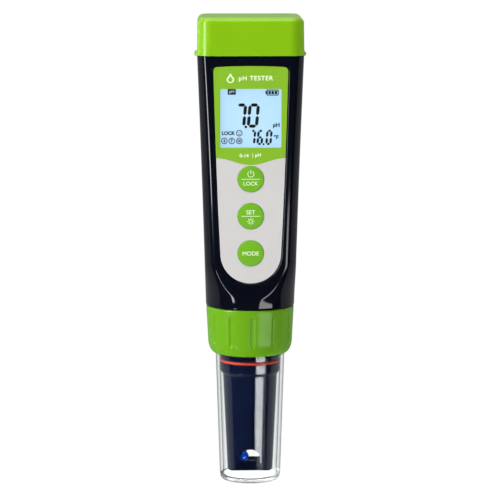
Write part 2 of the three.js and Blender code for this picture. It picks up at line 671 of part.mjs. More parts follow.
function makeSensors() {
  const { x, z, radius, neck, glass } = BULB;
  const tubeTop = 47;
  const shoulder = z + Math.sqrt(radius ** 2 - neck ** 2);
  const arc = (size, from, to, steps) =>
    Array.from({ length: steps + 1 }, (_, i) => {
      const angle = from + ((to - from) * i) / steps;
      return [size * Math.cos(angle), z + size * Math.sin(angle)];
    });
  const outerStart = -Math.PI / 2;
  const outerEnd = Math.asin((shoulder - z) / radius);
  const bore = radius - glass;
  const boreNeck = neck - glass;
  const boreEnd = Math.acos(boreNeck / bore);
  const wall = [
    ...arc(radius, outerStart, outerEnd, 5).map(([r, h]) => [Math.max(r, 0), h]),
    [neck, tubeTop],
    [boreNeck, tubeTop],
    ...arc(bore, boreEnd, outerStart, 5).map(([r, h]) => [Math.max(r, 0), h]),
  ];
  wall[0][0] = 0;
  wall[wall.length - 1][0] = 0;
  add("sensing_glass", turned(wall, 16).translate(x, 0, 0), ELECTRODE_GLASS);

  const slack = 0.12;
  const fillEnd = Math.acos((boreNeck - slack) / (bore - slack));
  const fill = [
    ...arc(bore - slack, outerStart, fillEnd, 4).map(([r, h]) => [Math.max(r, 0), h]),
    [boreNeck - slack, 34],
    [0.45, 34],
    [0.45, 9],
    [0, 9],
  ];
  fill[0][0] = 0;
  add("bulb_electrolyte", turned(fill, 12).translate(x, 0, 0), BLUE_ELECTROLYTE);
  add("measuring_wire", bar(x, 0, 0.25, 9.3, 52, 6), SILVER_WIRE);
  add("reference_wire", bar(3.2, -3, 0.3, 24, 52, 6), SILVER_WIRE);
  add("reference_junction", bar(1.2, 3.2, 0.9, CHAMBER_Z - 0.3, 19.5, 10), POROUS_CERAMIC);
  const sheath = [[0, 10.9], [0.7, 11.1], [1.1, 11.8], [1.1, 21], [0, 21]];
  add("temperature_sensor", turned(sheath, 12).translate(3.9, 0, 0), STEEL);

  const potting = cut(
    solid(bar(0, 0, 8.7, 47.4, 50.5, 24)),
    solid(bar(x, 0, 0.6, 46, 52, 8)),
    solid(bar(3.2, -3, 0.6, 46, 52, 8)),
  );
  add("potting_plug", potting, EPOXY);
  const plugHoles = pinCentres().map(([px, py]) => solid(bar(px, py, PIN_RADIUS + GAP, 55, 62, 8)));
  const keyway = solid(block([-1, 7.6, 54], [1, 10, 62]));
  add("probe_plug", cut(solid(bar(0, 0, PLUG_RADIUS, 53, PLUG_TOP_Z, 20)), ...plugHoles, keyway), CHIP_BLACK);
}

// ---------------------------------------------------------------- locking ring and storage cap

function makeLockingRing() {
  const top = SHOULDER_Z - GAP;
  const outerTop = 16.74;
  const outerLow = 16.1;
  const foot = 13.3;
  const roundTop = 55.2;
  const profile = [[11.9, RING_Z], [foot, RING_Z]];
  for (let i = 1; i <= 4; i++) {
    const angle = (i / 4) * (Math.PI / 2);
    const across = foot + (outerLow - foot) * Math.sin(angle);
    profile.push([across, roundTop - (roundTop - RING_Z) * Math.cos(angle)]);
  }
  profile.push([outerTop, top - 0.4], [outerTop - 0.3, top], [RING_ROOT, top], [RING_ROOT, 52.4]);
  profile.push([11.9, 52.4], [11.9, RING_Z]);
  const flutes = [];
  const fluteCount = 12;
  const fluteRadius = 1.1;
  const fluteOffset = 3; // degrees from the front centre line
  for (let i = 0; i < fluteCount; i++) {
    const angle = THREE.MathUtils.degToRad(-90 + fluteOffset + (360 / fluteCount) * i);
    const reach = outerLow + 0.75;
    flutes.push(
      solid(bar(reach * Math.cos(angle), reach * Math.sin(angle), fluteRadius, 52.5, 65, 12)),
    );
  }
  const ridge = [[RING_ROOT + 0.4, 0.75], [RING_CREST, 0.35], [RING_CREST, -0.35], [RING_ROOT + 0.4, -0.75]];
  const thread = solid(helix(ridge, THREAD_TURNS, PITCH, THREAD_LOW + PITCH / 2, 0));
  const inside = solid(tube(RING_CREST - 3, 15.4, 52.5, top, 24));
  const blank = cut(solid(turned(profile, 36)), ...flutes);
  add("locking_ring", join(blank, thread.intersect(inside)), GREEN_ABS);
}

function makeStorageCap() {
  const profile = [
    [0, 0], [10.2, 0], [11.2, 0.5], [11.62, 1.6], [13.15, CUP_TOP_Z],
    [11.85, CUP_TOP_Z], [11.7, 43], [10.38, 3], [9.4, 1.6], [0, 1.6],
  ];
  add("storage_cap", turned(profile, 36), CLEAR_PLASTIC);
}

makeHousing();
makeFace();
makeBatteries();
makeBatteryLid();
makeTopCap();
makeSocket();
makeProbeBody();
makeSensors();
makeLockingRing();
makeStorageCap();

export default probe;
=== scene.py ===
# %% [markdown]
# # A pocket water quality probe
# The probe is a pH tester that stands upright on its clear storage cap: a glossy black handle with a
# green pull-off cap, a display and three keys, a fluted green locking ring and a navy electrode.
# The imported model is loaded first, as a fixed frame. Every piece made here sits in that frame.

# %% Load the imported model
import math

import bmesh
import bpy
from mathutils import Matrix, Vector


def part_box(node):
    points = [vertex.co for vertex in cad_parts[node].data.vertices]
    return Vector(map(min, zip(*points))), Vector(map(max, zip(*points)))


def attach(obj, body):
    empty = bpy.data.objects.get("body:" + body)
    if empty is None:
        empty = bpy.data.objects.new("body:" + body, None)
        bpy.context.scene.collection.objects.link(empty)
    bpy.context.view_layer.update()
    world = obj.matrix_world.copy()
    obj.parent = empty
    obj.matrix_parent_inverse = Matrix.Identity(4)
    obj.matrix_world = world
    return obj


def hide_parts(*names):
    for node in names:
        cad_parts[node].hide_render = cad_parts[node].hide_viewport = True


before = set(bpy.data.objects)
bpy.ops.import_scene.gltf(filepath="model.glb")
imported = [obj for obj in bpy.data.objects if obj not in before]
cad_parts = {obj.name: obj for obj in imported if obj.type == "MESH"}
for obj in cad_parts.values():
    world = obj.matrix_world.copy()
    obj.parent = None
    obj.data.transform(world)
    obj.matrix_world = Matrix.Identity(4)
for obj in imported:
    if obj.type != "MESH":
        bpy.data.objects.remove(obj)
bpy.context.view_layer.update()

# %% [markdown]
# ## Working in millimetres
# The real parts are designed in millimetres, and Blender's boolean tool is steadier on numbers near
# one than on numbers near a thousandth. So each mesh is built in millimetres and scaled down last.

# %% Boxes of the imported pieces, in millimetres
MM = 0.001


def box_mm(node):
    low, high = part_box(node)
    return Vector(low) / MM, Vector(high) / MM


housing_low, housing_high = box_mm("housing")
cap_low, cap_high = box_mm("top_cap")
ring_low, ring_high = box_mm("locking_ring")
stem_low = box_mm("probe_body")[0]
cup_low, cup_high = box_mm("storage_cap")
height = cap_high.z
print(f"height {height:.1f} mm, housing {housing_low.z:.1f} to {housing_high.z:.1f} mm")

# %% [markdown]
# ## Colours
# Paint and plastic colours are written as the hex values a designer would give. Blender mixes light
# in linear values, so one function converts them.

# %% One colour function


def linear(hex_colour):
    def channel(value):
        return value / 12.92 if value <= 0.04045 else ((value + 0.055) / 1.055) ** 2.4

    parts = [int(hex_colour[i : i + 2], 16) / 255 for i in (1, 3, 5)]
    return (*map(channel, parts), 1.0)


# %% [markdown]
# ## Nodes
# A material is a small program of nodes. One function adds a node, sets its settings and its inputs,
# and links an input when it is given another node's output.

# %% Add one node


def add_node(tree, kind, inputs=None, **settings):
    node = tree.nodes.new("ShaderNode" + kind)
    for name, value in settings.items():
        setattr(node, name, value)
    for key, value in (inputs or {}).items():
        if isinstance(value, bpy.types.NodeSocket):
            tree.links.new(value, node.inputs[key])
        else:
            node.inputs[key].default_value = value
    return node


def new_material(name):
    material = bpy.data.materials.new(name)
    material.use_nodes = True
    material.node_tree.nodes.clear()
    return material, material.node_tree


def close_material(tree, shader):
    add_node(tree, "OutputMaterial", {"Surface": shader.outputs[0]})


# %% [markdown]
# ## Moulded plastic
# Most of the probe is injection-moulded plastic. Under a softbox such a surface shows three things:
# a slow drift in gloss where the melt cooled unevenly, a faint ripple of its polished mould, and the
# fine grain that spark erosion leaves in a satin mould. One function makes all three, from real
# sizes in millimetres.

# %% A function for moulded plastics


def moulded(name, colour, shade, roughness, grain_mm, grain_depth_mm, ripple_mm=0.0, **constants):
    material, tree = new_material(name)
    place = add_node(tree, "TexCoord").outputs["Object"]
    drift = add_node(tree, "TexNoise", {"Vector": place, "Scale": 1 / (18 * MM), "Detail": 2.0})
    grain = add_node(tree, "TexNoise", {"Vector": place, "Scale": 1 / (grain_mm * MM), "Detail": 3.0})
    tint = add_node(
        tree, "Mix", {0: drift.outputs[0], "A": linear(colour), "B": linear(shade)}, data_type="RGBA"
    )
    gloss = add_node(
        tree,
        "MapRange",
        {0: drift.outputs[0], 1: 0.3, 2: 0.7, 3: roughness * 0.88, 4: roughness * 1.12},
    )
    bump = add_node(tree, "Bump", {"Height": grain.outputs[0], "Distance": grain_depth_mm * MM})
    if ripple_mm:
        wave = add_node(tree, "TexNoise", {"Vector": place, "Scale": 1 / (7 * MM), "Detail": 0.0})
        bump = add_node(
            tree,
            "Bump",
            {"Height": wave.outputs[0], "Distance": ripple_mm * MM, "Normal": bump.outputs[0]},
        )
    shader = add_node(
        tree,
        "BsdfPrincipled",
        {
            "Base Color": tint.outputs["Result"],
            "Roughness": gloss.outputs[0],
            "IOR": 1.53,
            "Normal": bump.outputs[0],
            **constants,
        },
    )
    close_material(tree, shader)
    return material


# %% [markdown]
# Inks, films and rubbers are simpler: two close shades in soft patches, and one fine grain.

# %% A function for inks, films and rubbers


def grained(name, colour, shade, patch, grain, grain_depth_mm, **constants):
    """Patch and grain are each a size in millimetres and the noise's detail."""
    material, tree = new_material(name)
    place_at = add_node(tree, "TexCoord").outputs["Object"]
    patches, grains = [
        add_node(tree, "TexNoise", {"Vector": place_at, "Scale": 1 / (size * MM), "Detail": detail})
        for size, detail in (patch, grain)
    ]
    colours = add_node(
        tree, "Mix", {0: patches.outputs[0], "A": linear(colour), "B": linear(shade)}, data_type="RGBA"
    )
    bump = add_node(tree, "Bump", {"Height": grains.outputs[0], "Distance": grain_depth_mm * MM})
    looks = {"Base Color": colours.outputs["Result"], "Normal": bump.outputs[0], **constants}
    close_material(tree, add_node(tree, "BsdfPrincipled", looks))
    return material


# %% [markdown]
# The handle is ABS from a polished mould: almost black with a blue cast, and glossy enough to show
# the softboxes as sharp bands. The electrode is navy ABS under a clear gloss coat. The pull-off cap
# and the locking ring are green ABS from a satin mould, so their reflections are broad and soft.

# %% The main plastics
polished = {"Specular IOR Level": 0.4}
satin = {"Specular IOR Level": 0.3}
black_abs = moulded("polished_black_abs", "#05070F", "#080B16", 0.08, 0.6, 0.0006, 0.004, **polished)
lacquered = {"Coat Weight": 0.9, "Coat Roughness": 0.03}
navy_abs = moulded("polished_navy_abs", "#0A1129", "#0C1530", 0.06, 0.6, 0.0004, 0.002, **lacquered)
green_abs = moulded("satin_green_abs", "#79AC0B", "#72A508", 0.22, 0.45, 0.003, **satin)
ring_abs = moulded("satin_green_ring_abs", "#5F9803", "#5A9202", 0.24, 0.45, 0.003, **satin)
socket_pbt = moulded("black_glass_filled_pbt", "#17181A", "#1E1F22", 0.5, 0.35, 0.01)
holder_abs = moulded("textured_grey_abs", "#26282C", "#2E3035", 0.48, 0.35, 0.012)
nylon = moulded("natural_nylon", "#E4DFCF", "#D9D3C0", 0.42, 0.5, 0.004)
diffuser = moulded("milky_acrylic_diffuser", "#F1F2EE", "#E9EBE6", 0.5, 0.5, 0.003)
epoxy = moulded("black_potting_epoxy", "#1B1F28", "#242A35", 0.25, 1.2, 0.01)
print("moulded plastics made")

# %% [markdown]
# ## Meshes
# Three ways of making a mesh cover the whole probe: a loft through a stack of outlines, a profile
# turned about the upright axis, and a thin sheet cut from flat outlines. Each returns a closed mesh.

# %% Rounded outlines and lofts


def rounded_outline(half_x, half_y, radius, arc_steps=20, side_steps=10):
    """Points of a rectangle with round corners, anticlockwise from above, in millimetres."""
    radius = min(radius, half_x - 0.01, half_y - 0.01)
    points = []
    for quarter, (sx, sy) in enumerate([(1, 1), (-1, 1), (-1, -1), (1, -1)]):
        centre = Vector((sx * (half_x - radius), sy * (half_y - radius)))
        for i in range(arc_steps + 1):
            angle = (quarter + i / arc_steps) * math.pi / 2
            points.append(centre + radius * Vector((math.cos(angle), math.sin(angle))))
        following = [(-1, 1), (-1, -1), (1, -1), (1, 1)][quarter]
        start = points[-1]
        angle = (quarter + 1) * math.pi / 2
        end = Vector((following[0] * (half_x - radius), following[1] * (half_y - radius)))
        end = end + radius * Vector((math.cos(angle), math.sin(angle)))
        points += [start.lerp(end, i / side_steps) for i in range(1, side_steps)]
    return points


def at_height(points, z):
    return [Vector((p.x, p.y, z)) for p in points]


def new_piece(name, mesh):
    made = bpy.data.objects.new(name, mesh)
    bpy.context.collection.objects.link(made)
    return made


def weld(mesh):
    """Merges points that coincide and turns every face outwards."""
    welded = bmesh.new()
    welded.from_mesh(mesh)
    bmesh.ops.remove_doubles(welded, verts=welded.verts, dist=1e-5)
    bmesh.ops.recalc_face_normals(welded, faces=welded.faces)
    welded.to_mesh(mesh)
    welded.free()


def mesh_object(name, vertices, faces):
    mesh = bpy.data.meshes.new(name)
    mesh.from_pydata([tuple(v) for v in vertices], [], faces)
    weld(mesh)
    return new_piece(name, mesh)


def loft(name, rings, closed=False):
    """A closed mesh through rings with the same number of points. Closed, the last joins the first."""
    count = len(rings[0])
    vertices = [point for ring in rings for point in ring]
    faces = []
    for level in range(len(rings) if closed else len(rings) - 1):
        for i in range(count):
            a, b = level * count + i, level * count + (i + 1) % count
            faces.append((a, b, (b + count) % len(vertices), (a + count) % len(vertices)))
    if not closed:
        faces.append(tuple(reversed(range(count))))
        faces.append(tuple(range(len(vertices) - count, len(vertices))))
    return mesh_object(name, vertices, faces)


# %% Turned profiles


def turned(name, profile, steps=96, centre=(0, 0), closed=False):
    """Turns (radius, height) pairs about an upright axis. A closed profile makes a ring."""
    rings = []
    for radius, z in profile:
        angles = [2 * math.pi * i / steps for i in range(steps)]
        rings.append([
            Vector((centre[0] + radius * math.cos(a), centre[1] + radius * math.sin(a), z))
            for a in angles
        ])
    return loft(name, rings, closed)


def arc(centre, radius, start, end, steps):
    """Points on an arc in the profile plane, from one angle to another in degrees."""
    angles = [math.radians(start + (end - start) * i / steps) for i in range(steps + 1)]
    return [(centre[0] + radius * math.cos(a), centre[1] + radius * math.sin(a)) for a in angles]


# %% [markdown]
# ## Joining and cutting
# Openings are cut with Blender's exact boolean. Afterwards edges sharper than about 30 degrees are
# marked sharp and the rest is shaded smooth. Broad faces lead the shading, so they stay flat and the
# small chamfers beside them carry the turn of light.

# %% Booleans and finishing


def mesh_as_seen(piece):
    """The mesh that Blender makes of a curve, of lettering or of a piece with modifiers."""
    seen = piece.evaluated_get(bpy.context.evaluated_depsgraph_get())
    return bpy.data.meshes.new_from_object(seen)


def combine(piece, others, operation):
    for other in others:
        modifier = piece.modifiers.new("combine", "BOOLEAN")
        modifier.object = other
        modifier.operation = operation
        modifier.solver = "EXACT"
    mesh = mesh_as_seen(piece)
    piece.modifiers.clear()
    piece.data = mesh
    for other in others:
        bpy.data.objects.remove(other)
    return piece


def shade(piece, angle=30):
    mesh = piece.data
    mesh.polygons.foreach_set("use_smooth", [True] * len(mesh.polygons))
    mesh.set_sharp_from_angle(angle=math.radians(angle))


def place(piece, material, body, *replaced, angle=30):
    """Scales a finished piece to metres, gives it its material and hands it to its body."""
    piece.data.transform(Matrix.Scale(MM, 4))
    piece.data.materials.clear()
    piece.data.materials.append(material)
    shade(piece, angle)
    weighted = piece.modifiers.new("broad_faces_lead", "WEIGHTED_NORMAL")
    weighted.weight = 90
    weighted.keep_sharp = True
    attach(piece, body)
    if replaced:
        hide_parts(*replaced)
    print(f"{piece.name}: {len(piece.data.polygons)} faces on {body}")
    return piece


# %% [markdown]
# ## The handle's outer skin
# The handle is a square bar with round corners that turns into a round foot where the locking ring
# screws on. Its section is worked out at each height from the moulding's draft. The flat front face
# is a plane that trims the skin, and a soft minimum gives the trimmed edge the small rounding of a
# real mould, which catches light as a thin line. Towards the foot the plane sweeps outwards, which
# draws the U-shaped edge under the keys.

# %% Sections of the skin
SHOULDER = 68.0
SKIN_TOP = 164.1
FOOT_HALF = 16.86
DRAFT = 0.025
FLARE = 0.00008
SQUARE_FROM = 86.0
FACE_SLOPE = 0.0385
FACE_TILT = math.atan(FACE_SLOPE)
EDGE_SOFTNESS = 0.36


def skin_half(z):
    rise = z - SHOULDER
    return FOOT_HALF + DRAFT * rise + FLARE * rise * rise


def skin_corner(z):
    share = min(max((z - SHOULDER) / (SQUARE_FROM - SHOULDER), 0), 1)
    share = share * share * (3 - 2 * share)
    square = 8.1 - 0.0217 * (z - SQUARE_FROM)
    return (skin_half(z) - 0.02) * (1 - share) + square * share


def face_depth(z):
    sweep = 0.00307 * max(80 - z, 0) ** 3
    return 16 + FACE_SLOPE * (z - 82) + sweep


def soft_min(a, b, softness):
    overlap = max(softness - abs(a - b), 0) / softness
    return min(a, b) - overlap * overlap * softness / 4


def skin_ring(z, inset=0.0, face_inset=None, arc_steps=36, side_steps=12):
    half = skin_half(z) - inset
    corner = max(skin_corner(z) - inset, 1)
    depth = face_depth(z) - (inset if face_inset is None else face_inset)
    points = rounded_outline(half, half, corner, arc_steps, side_steps)
    return [
        Vector((p.x, p.y if p.y >= 0 else -soft_min(-p.y, depth, EDGE_SOFTNESS), z)) for p in points
    ]


def steps_between(low, high, step):
    count = max(1, round((high - low) / step))
    return [low + (high - low) * i / count for i in range(count + 1)]


# %% [markdown]
# ## The face's own frame
# The label, the display and the keys lie on the tilted front face. A point on it is given by how far
# it is across, how far up the face, and how far out of it.

# %% Points on the face
FACE_ORIGIN = Vector((0, -face_depth(118), 118))
FACE_UP = Vector((0, -math.sin(FACE_TILT), math.cos(FACE_TILT)))
FACE_OUT = Vector((0, -math.cos(FACE_TILT), -math.sin(FACE_TILT)))
FACE_AXES = Matrix((Vector((1, 0, 0)), FACE_UP, FACE_OUT)).transposed()
FACE_MATRIX = Matrix.Translation(FACE_ORIGIN) @ FACE_AXES.to_4x4()


def up_face(z):
    return (z - FACE_ORIGIN.z) / math.cos(FACE_TILT)


def on_face(points, out):
    return [FACE_MATRIX @ Vector((p[0], p[1], out)) for p in points]


def bezier(start, control, end, steps):
    start, control, end = Vector(start), Vector(control), Vector(end)
    return [
        start * (1 - t) ** 2 + control * 2 * t * (1 - t) + end * t * t
        for t in [i / steps for i in range(1, steps + 1)]
    ]


def grown(points, distance):
    """The same closed outline moved outwards by a distance."""
    moved = []
    count = len(points)
    for i, point in enumerate(points):
        along = points[(i + 1) % count] - points[i - 1]
        normal = Vector((along.y, -along.x)).normalized()
        moved.append(point + normal * distance)
    return moved


# %% [markdown]
# ## The label's outline
# The label is a film with a nearly straight top, sides that draw in gently, and a half-round foot.

# %% Draw the label's outline
LABEL = {"top": 159.7, "top_half": 13.9, "corner": 1.8, "waist": 116.25, "waist_half": 12.83}
LABEL_FOOT = (89.5, 11.4)


def label_outline():
    top, half, corner = up_face(LABEL["top"]), LABEL["top_half"], LABEL["corner"]
    foot, radius = up_face(LABEL_FOOT[0]), LABEL_FOOT[1]
    waist = (LABEL["waist_half"], up_face(LABEL["waist"]))
    points = [Vector((-half + corner, top))]
    points += bezier((-half + corner, top), (-half, top), (-half, top - corner), 10)
    points += bezier((-half, top - corner), (-waist[0], waist[1]), (-radius, foot), 40)
    points += [Vector((-radius * math.cos(a), foot - radius * math.sin(a)))
               for a in [math.pi * i / 60 for i in range(1, 61)]]
    points += bezier((radius, foot), waist, (half, top - corner), 40)
    points += bezier((half, top - corner), (half, top), (half - corner, top), 10)
    points += bezier((half - corner, top), (0, top + 0.7), (-half + corner, top), 24)[:-1]
    return points


label_points = label_outline()
label_mm = max(p.y for p in label_points) - min(p.y for p in label_points)
print(f"label outline: {len(label_points)} points, {label_mm:.1f} mm long")

# %% [markdown]
# ## Cutting the label's seat
# The label lies in a shallow seat, so its edge can't be caught by a thumb. The cutter's wall opens
# out near the surface, and that leaves the seat with a rounded rim.

# %% Cutters for the handle
SEAT_DEPTH = 1.0
SEAT_CLEARANCE = 0.35
RIM = 0.3
KEY_HEIGHTS = {"power": 117.7, "calibrate": 103.7, "unit": 89.6}


def seat_cutter():
    rings = [on_face(grown(label_points, SEAT_CLEARANCE), -SEAT_DEPTH)]
    for degrees in (0, 15, 30, 45, 60, 74):
        a = math.radians(degrees)
        grow = SEAT_CLEARANCE + RIM * (1 - math.cos(a))
        rings.append(on_face(grown(label_points, grow), RIM * (math.sin(a) - 1)))
    rings.append(on_face(grown(label_points, SEAT_CLEARANCE + RIM), 2))
    return loft("seat_cutter", rings)


def face_hole(points, low, high):
    return loft("face_hole", [on_face(points, low), on_face(points, high)])


def disc(centre, radius, steps=48):
    return [
        Vector((centre[0] + radius * math.cos(a), centre[1] + radius * math.sin(a)))
        for a in [2 * math.pi * i / steps for i in range(steps)]
    ]


def face_rectangle(half, low, high, radius, arc_steps=6):
    middle = (up_face(low) + up_face(high)) / 2
    points = rounded_outline(half, (up_face(high) - up_face(low)) / 2, radius, arc_steps, 2)
    return [Vector((p.x, p.y + middle)) for p in points]


# %% [markdown]
# ## The neck and its thread
# Under the skin is a round neck with a coarse union thread, which the locking ring screws onto. The
# thread is one trapezoid ridge swept up a helix, and the ring carries the matching ridge inside.

# %% Sweep a thread ridge
PITCH = 2.5
THREAD_LOW = 59.0


def thread_ridge(name, root, crest, start, turns=2, per_turn=96):
    section = [(root, -0.75), (crest, -0.35), (crest, 0.35), (root, 0.75)]
    rings = []
    for k in range(turns * per_turn + 1):
        angle = 2 * math.pi * k / per_turn
        fade = min(1, k / 14, (turns * per_turn - k) / 14)
        rise = start + PITCH * k / per_turn
        rings.append([
            Vector((
                (root + (radius - root) * fade) * math.cos(angle),
                (root + (radius - root) * fade) * math.sin(angle),
                z + rise,
            ))
            for radius, z in section
        ])
    return loft(name, rings)


def make_housing():
    rounding = 0.35
    top, foot = SKIN_TOP, SHOULDER
    rings = [skin_ring(foot, 0.3), skin_ring(foot + 0.09, 0.09), skin_ring(foot + 0.3)]
    rings += [skin_ring(z) for z in steps_between(foot + 0.7, 90, 0.45)]
    rings += [skin_ring(z) for z in steps_between(92, top - rounding, 2.0)]
    for degrees in (30, 60, 90):
        a = math.radians(degrees)
        rings.append(skin_ring(top - rounding + rounding * math.sin(a), rounding * (1 - math.cos(a))))
    housing = loft("housing_shell", rings)

    spigot = [(17.7, 163), (17.7, 166), (16.9, 166), (16.9, 167.6)]
    spigot += [(17.7, 167.6), (17.7, 169.1), (17.3, 169.5)]
    rim = loft("rim", [at_height(rounded_outline(h, h, h - 12.7, 10, 6), z) for h, z in spigot])
    neck = turned("neck", [(13.7, 56.3), (14, 56.6), (14, 71)])
    ridge = thread_ridge("ridge", 13.6, 14.85, THREAD_LOW)
    combine(housing, [rim, neck, ridge], "UNION")

    cavity_heights = [73] + steps_between(77, top + 1, 8)
    cavity = loft("cavity", [skin_ring(z, 2, 3, 8, 4) for z in cavity_heights])
    mouth = loft("mouth", [at_height(rounded_outline(15.9, 15.9, 3.2, 8, 4), z) for z in (160, 171)])
    bore = turned("bore", [(11.9, 55), (11.9, 70.6)])
    socket_seat = turned("socket_seat", [(9.3, 69), (9.3, 74)], 64)
    groove = turned("groove", [(12.4, 55), (13.7, 55), (13.7, 57.3), (12.4, 57.3)], closed=True)
    lcd = face_hole(face_rectangle(12.8, 127.7, 153.3, 0.6), -8, 1)
    holes = [face_hole(disc((0, up_face(z)), 2.4, 24), -8, 1) for z in KEY_HEIGHTS.values()]
    hollows = [seat_cutter(), cavity, mouth, bore, socket_seat, groove, lcd, *holes]
    combine(housing, hollows, "DIFFERENCE")
    return place(housing, black_abs, "handle", "housing")


# %% Make the handle
housing = make_housing()

# %% [markdown]
# ## Thin sheets
# Films, panes and printed legends are flat shapes with holes. A filled 2D curve handles the holes by
# itself and can round its own edges, so the sheet is drawn as a curve and turned into a mesh.

# %% Cut a sheet from outlines


def sheet(name, outlines, low, high, rounding=0.0):
    """A flat piece between two levels of the face, from one outer outline and any holes."""
    curve = bpy.data.curves.new(name, "CURVE")
    curve.dimensions = "2D"
    curve.fill_mode = "BOTH"
    curve.extrude = (high - low) / 2 - rounding
    curve.bevel_depth = rounding
    curve.bevel_resolution = 2
    curve.offset = -rounding
    for outline in outlines:
        spline = curve.splines.new("POLY")
        spline.points.add(len(outline) - 1)
        for target, point in zip(spline.points, outline):
            target.co = (point[0], point[1], 0, 1)
        spline.use_cyclic_u = True
    drawn = new_piece(name + "_curve", curve)
    mesh = mesh_as_seen(drawn)
    bpy.data.objects.remove(drawn)
    mesh.transform(FACE_MATRIX @ Matrix.Translation((0, 0, (low + high) / 2)))
    weld(mesh)
    return new_piece(name, mesh)


# %% [markdown]
# ## The printed label
# The label is polyester film printed on its back: leaf green above, warm light grey below, with the
# border between them dipping to the first key. The film has a fine matt texture. The border is
# worked out from the position across and up, so it stays sharp at any zoom.

# %% Printed polyester film


def printed_film():
    material, tree = new_material("printed_polyester_film")
    place_at = add_node(tree, "TexCoord").outputs["Object"]
    axes = add_node(tree, "SeparateXYZ", {0: place_at})
    per_metre = math.pi / (LABEL["waist_half"] * MM)
    phase = add_node(tree, "Math", {0: axes.outputs["X"], 1: per_metre}, operation="MULTIPLY")
    wave = add_node(tree, "Math", {0: phase.outputs[0]}, operation="COSINE")
    dip = add_node(
        tree, "Math", {0: wave.outputs[0], 1: -1.3 * MM, 2: 124.3 * MM}, operation="MULTIPLY_ADD"
    )
    above = add_node(tree, "Math", {0: axes.outputs["Z"], 1: dip.outputs[0]}, operation="SUBTRACT")
    edge = {1: -0.04 * MM, 2: 0.04 * MM, 3: 0.0, 4: 1.0}
    sharp = add_node(tree, "MapRange", {0: above.outputs[0], **edge})
    grain = add_node(tree, "TexNoise", {"Vector": place_at, "Scale": 1 / (0.35 * MM), "Detail": 3.0})
    drift = add_node(tree, "TexNoise", {"Vector": place_at, "Scale": 1 / (25 * MM), "Detail": 1.0})
    grey = add_node(
        tree,
        "Mix",
        {0: drift.outputs[0], "A": linear("#BFBDBC"), "B": linear("#B9B7B6")},
        data_type="RGBA",
    )
    green = add_node(
        tree,
        "Mix",
        {0: drift.outputs[0], "A": linear("#7CAD12"), "B": linear("#76A70E")},
        data_type="RGBA",
    )
    ink = add_node(
        tree,
        "Mix",
        {0: sharp.outputs[0], "A": grey.outputs["Result"], "B": green.outputs["Result"]},
        data_type="RGBA",
    )
    bump = add_node(tree, "Bump", {"Height": grain.outputs[0], "Distance": 0.003 * MM})
    shader = add_node(
        tree,
        "BsdfPrincipled",
        {"Base Color": ink.outputs["Result"], "Roughness": 0.42, "IOR": 1.5, "Normal": bump.outputs[0]},
    )
    close_material(tree, shader)
    return material


film = printed_film()

# %% Make the label with its window and key holes
WINDOW = {"half": 11.36, "low": 129.5, "high": 151.5, "corner": 0.6}
KEY_RADIUS = 4.95


def window_rectangle(inset=0.0):
    return face_rectangle(
        WINDOW["half"] - inset, WINDOW["low"] + inset, WINDOW["high"] - inset, WINDOW["corner"]
    )


key_holes = [disc((0, up_face(z)), KEY_RADIUS + 0.06, 64) for z in KEY_HEIGHTS.values()]
overlay = sheet("label_film", [label_points, window_rectangle(), *key_holes], -0.6, 0.0, 0.06)
place(overlay, film, "handle", "face_overlay")

# %% [markdown]
# ## Ink
# Legends are screen-printed in pale green-white ink, and the display's segments are liquid crystal
# that blocks the backlight, so they look like blue-black ink. Both are thin raised sheets here.

# %% Inks


def ink(name, colour, shade, roughness):
    return grained(name, colour, shade, (0.5, 2.0), (0.5, 2.0), 0.002, Roughness=roughness)


legend_ink = ink("pale_screen_ink", "#EAF6D8", "#DDEFC4", 0.45)
segment_ink = ink("liquid_crystal_segment", "#010306", "#03060A", 0.6)

# %% [markdown]
# ## Lettering
# Only plain symbols, numbers and units are printed: they say what a key or a reading is, and no more.
# Text is set in Blender's own font and turned into a thin mesh on the face.

# %% Set a word on the face
INK = 0.03


def word(name, text, centre, cap_height, thickness=INK, out=0.0, spacing=1.0, bold=0.0):
    letters = bpy.data.curves.new(name, "FONT")
    letters.body = text
    letters.align_x, letters.align_y = "CENTER", "CENTER"
    letters.size = cap_height / 0.72
    letters.space_character = spacing
    letters.extrude = thickness / 2
    letters.offset = bold
    drawn = new_piece(name + "_text", letters)
    mesh = mesh_as_seen(drawn)
    bpy.data.objects.remove(drawn)
    xs = [v.co.x for v in mesh.vertices]
    ys = [v.co.y for v in mesh.vertices]
    middle = Vector(((min(xs) + max(xs)) / 2, (min(ys) + max(ys)) / 2, 0))
    shift = Vector((centre[0], centre[1], out + thickness / 2)) - middle
    mesh.transform(FACE_MATRIX @ Matrix.Translation(shift))
    return new_piece(name, mesh)


def bar(centre, half_x, half_y, radius=0.05):
    return [p + Vector(centre) for p in rounded_outline(half_x, half_y, radius, 3, 2)]


def ring_outlines(centre, radius, width, steps=40):
    return [disc(centre, radius, steps), disc(centre, radius - width, steps)]


def merge(name, parts):
    """Joins several thin meshes into one piece."""
    together = bmesh.new()
    for part in parts:
        together.from_mesh(part.data)
        bpy.data.objects.remove(part)
    mesh = bpy.data.meshes.new(name)
    together.to_mesh(mesh)
    together.free()
    return new_piece(name, mesh)


# %% [markdown]
# ## Legends on the film
# Above the display stand a water drop and a plain description, and below it the range and unit.

# %% Print the film's legends


def drop_outline(centre, size):
    """A water drop: round below, drawn to a point above."""
    points = []
    for i in range(48):
        a = 2 * math.pi * i / 48 - math.pi / 2
        pinch = 1 - 0.5 * max(math.sin(a), 0) ** 1.5
        points.append(Vector((centre[0] + size * 0.62 * math.cos(a) * pinch ** 1.6,
                              centre[1] + size * (0.62 * math.sin(a) + 0.3 * max(math.sin(a), 0) ** 3))))
    return points


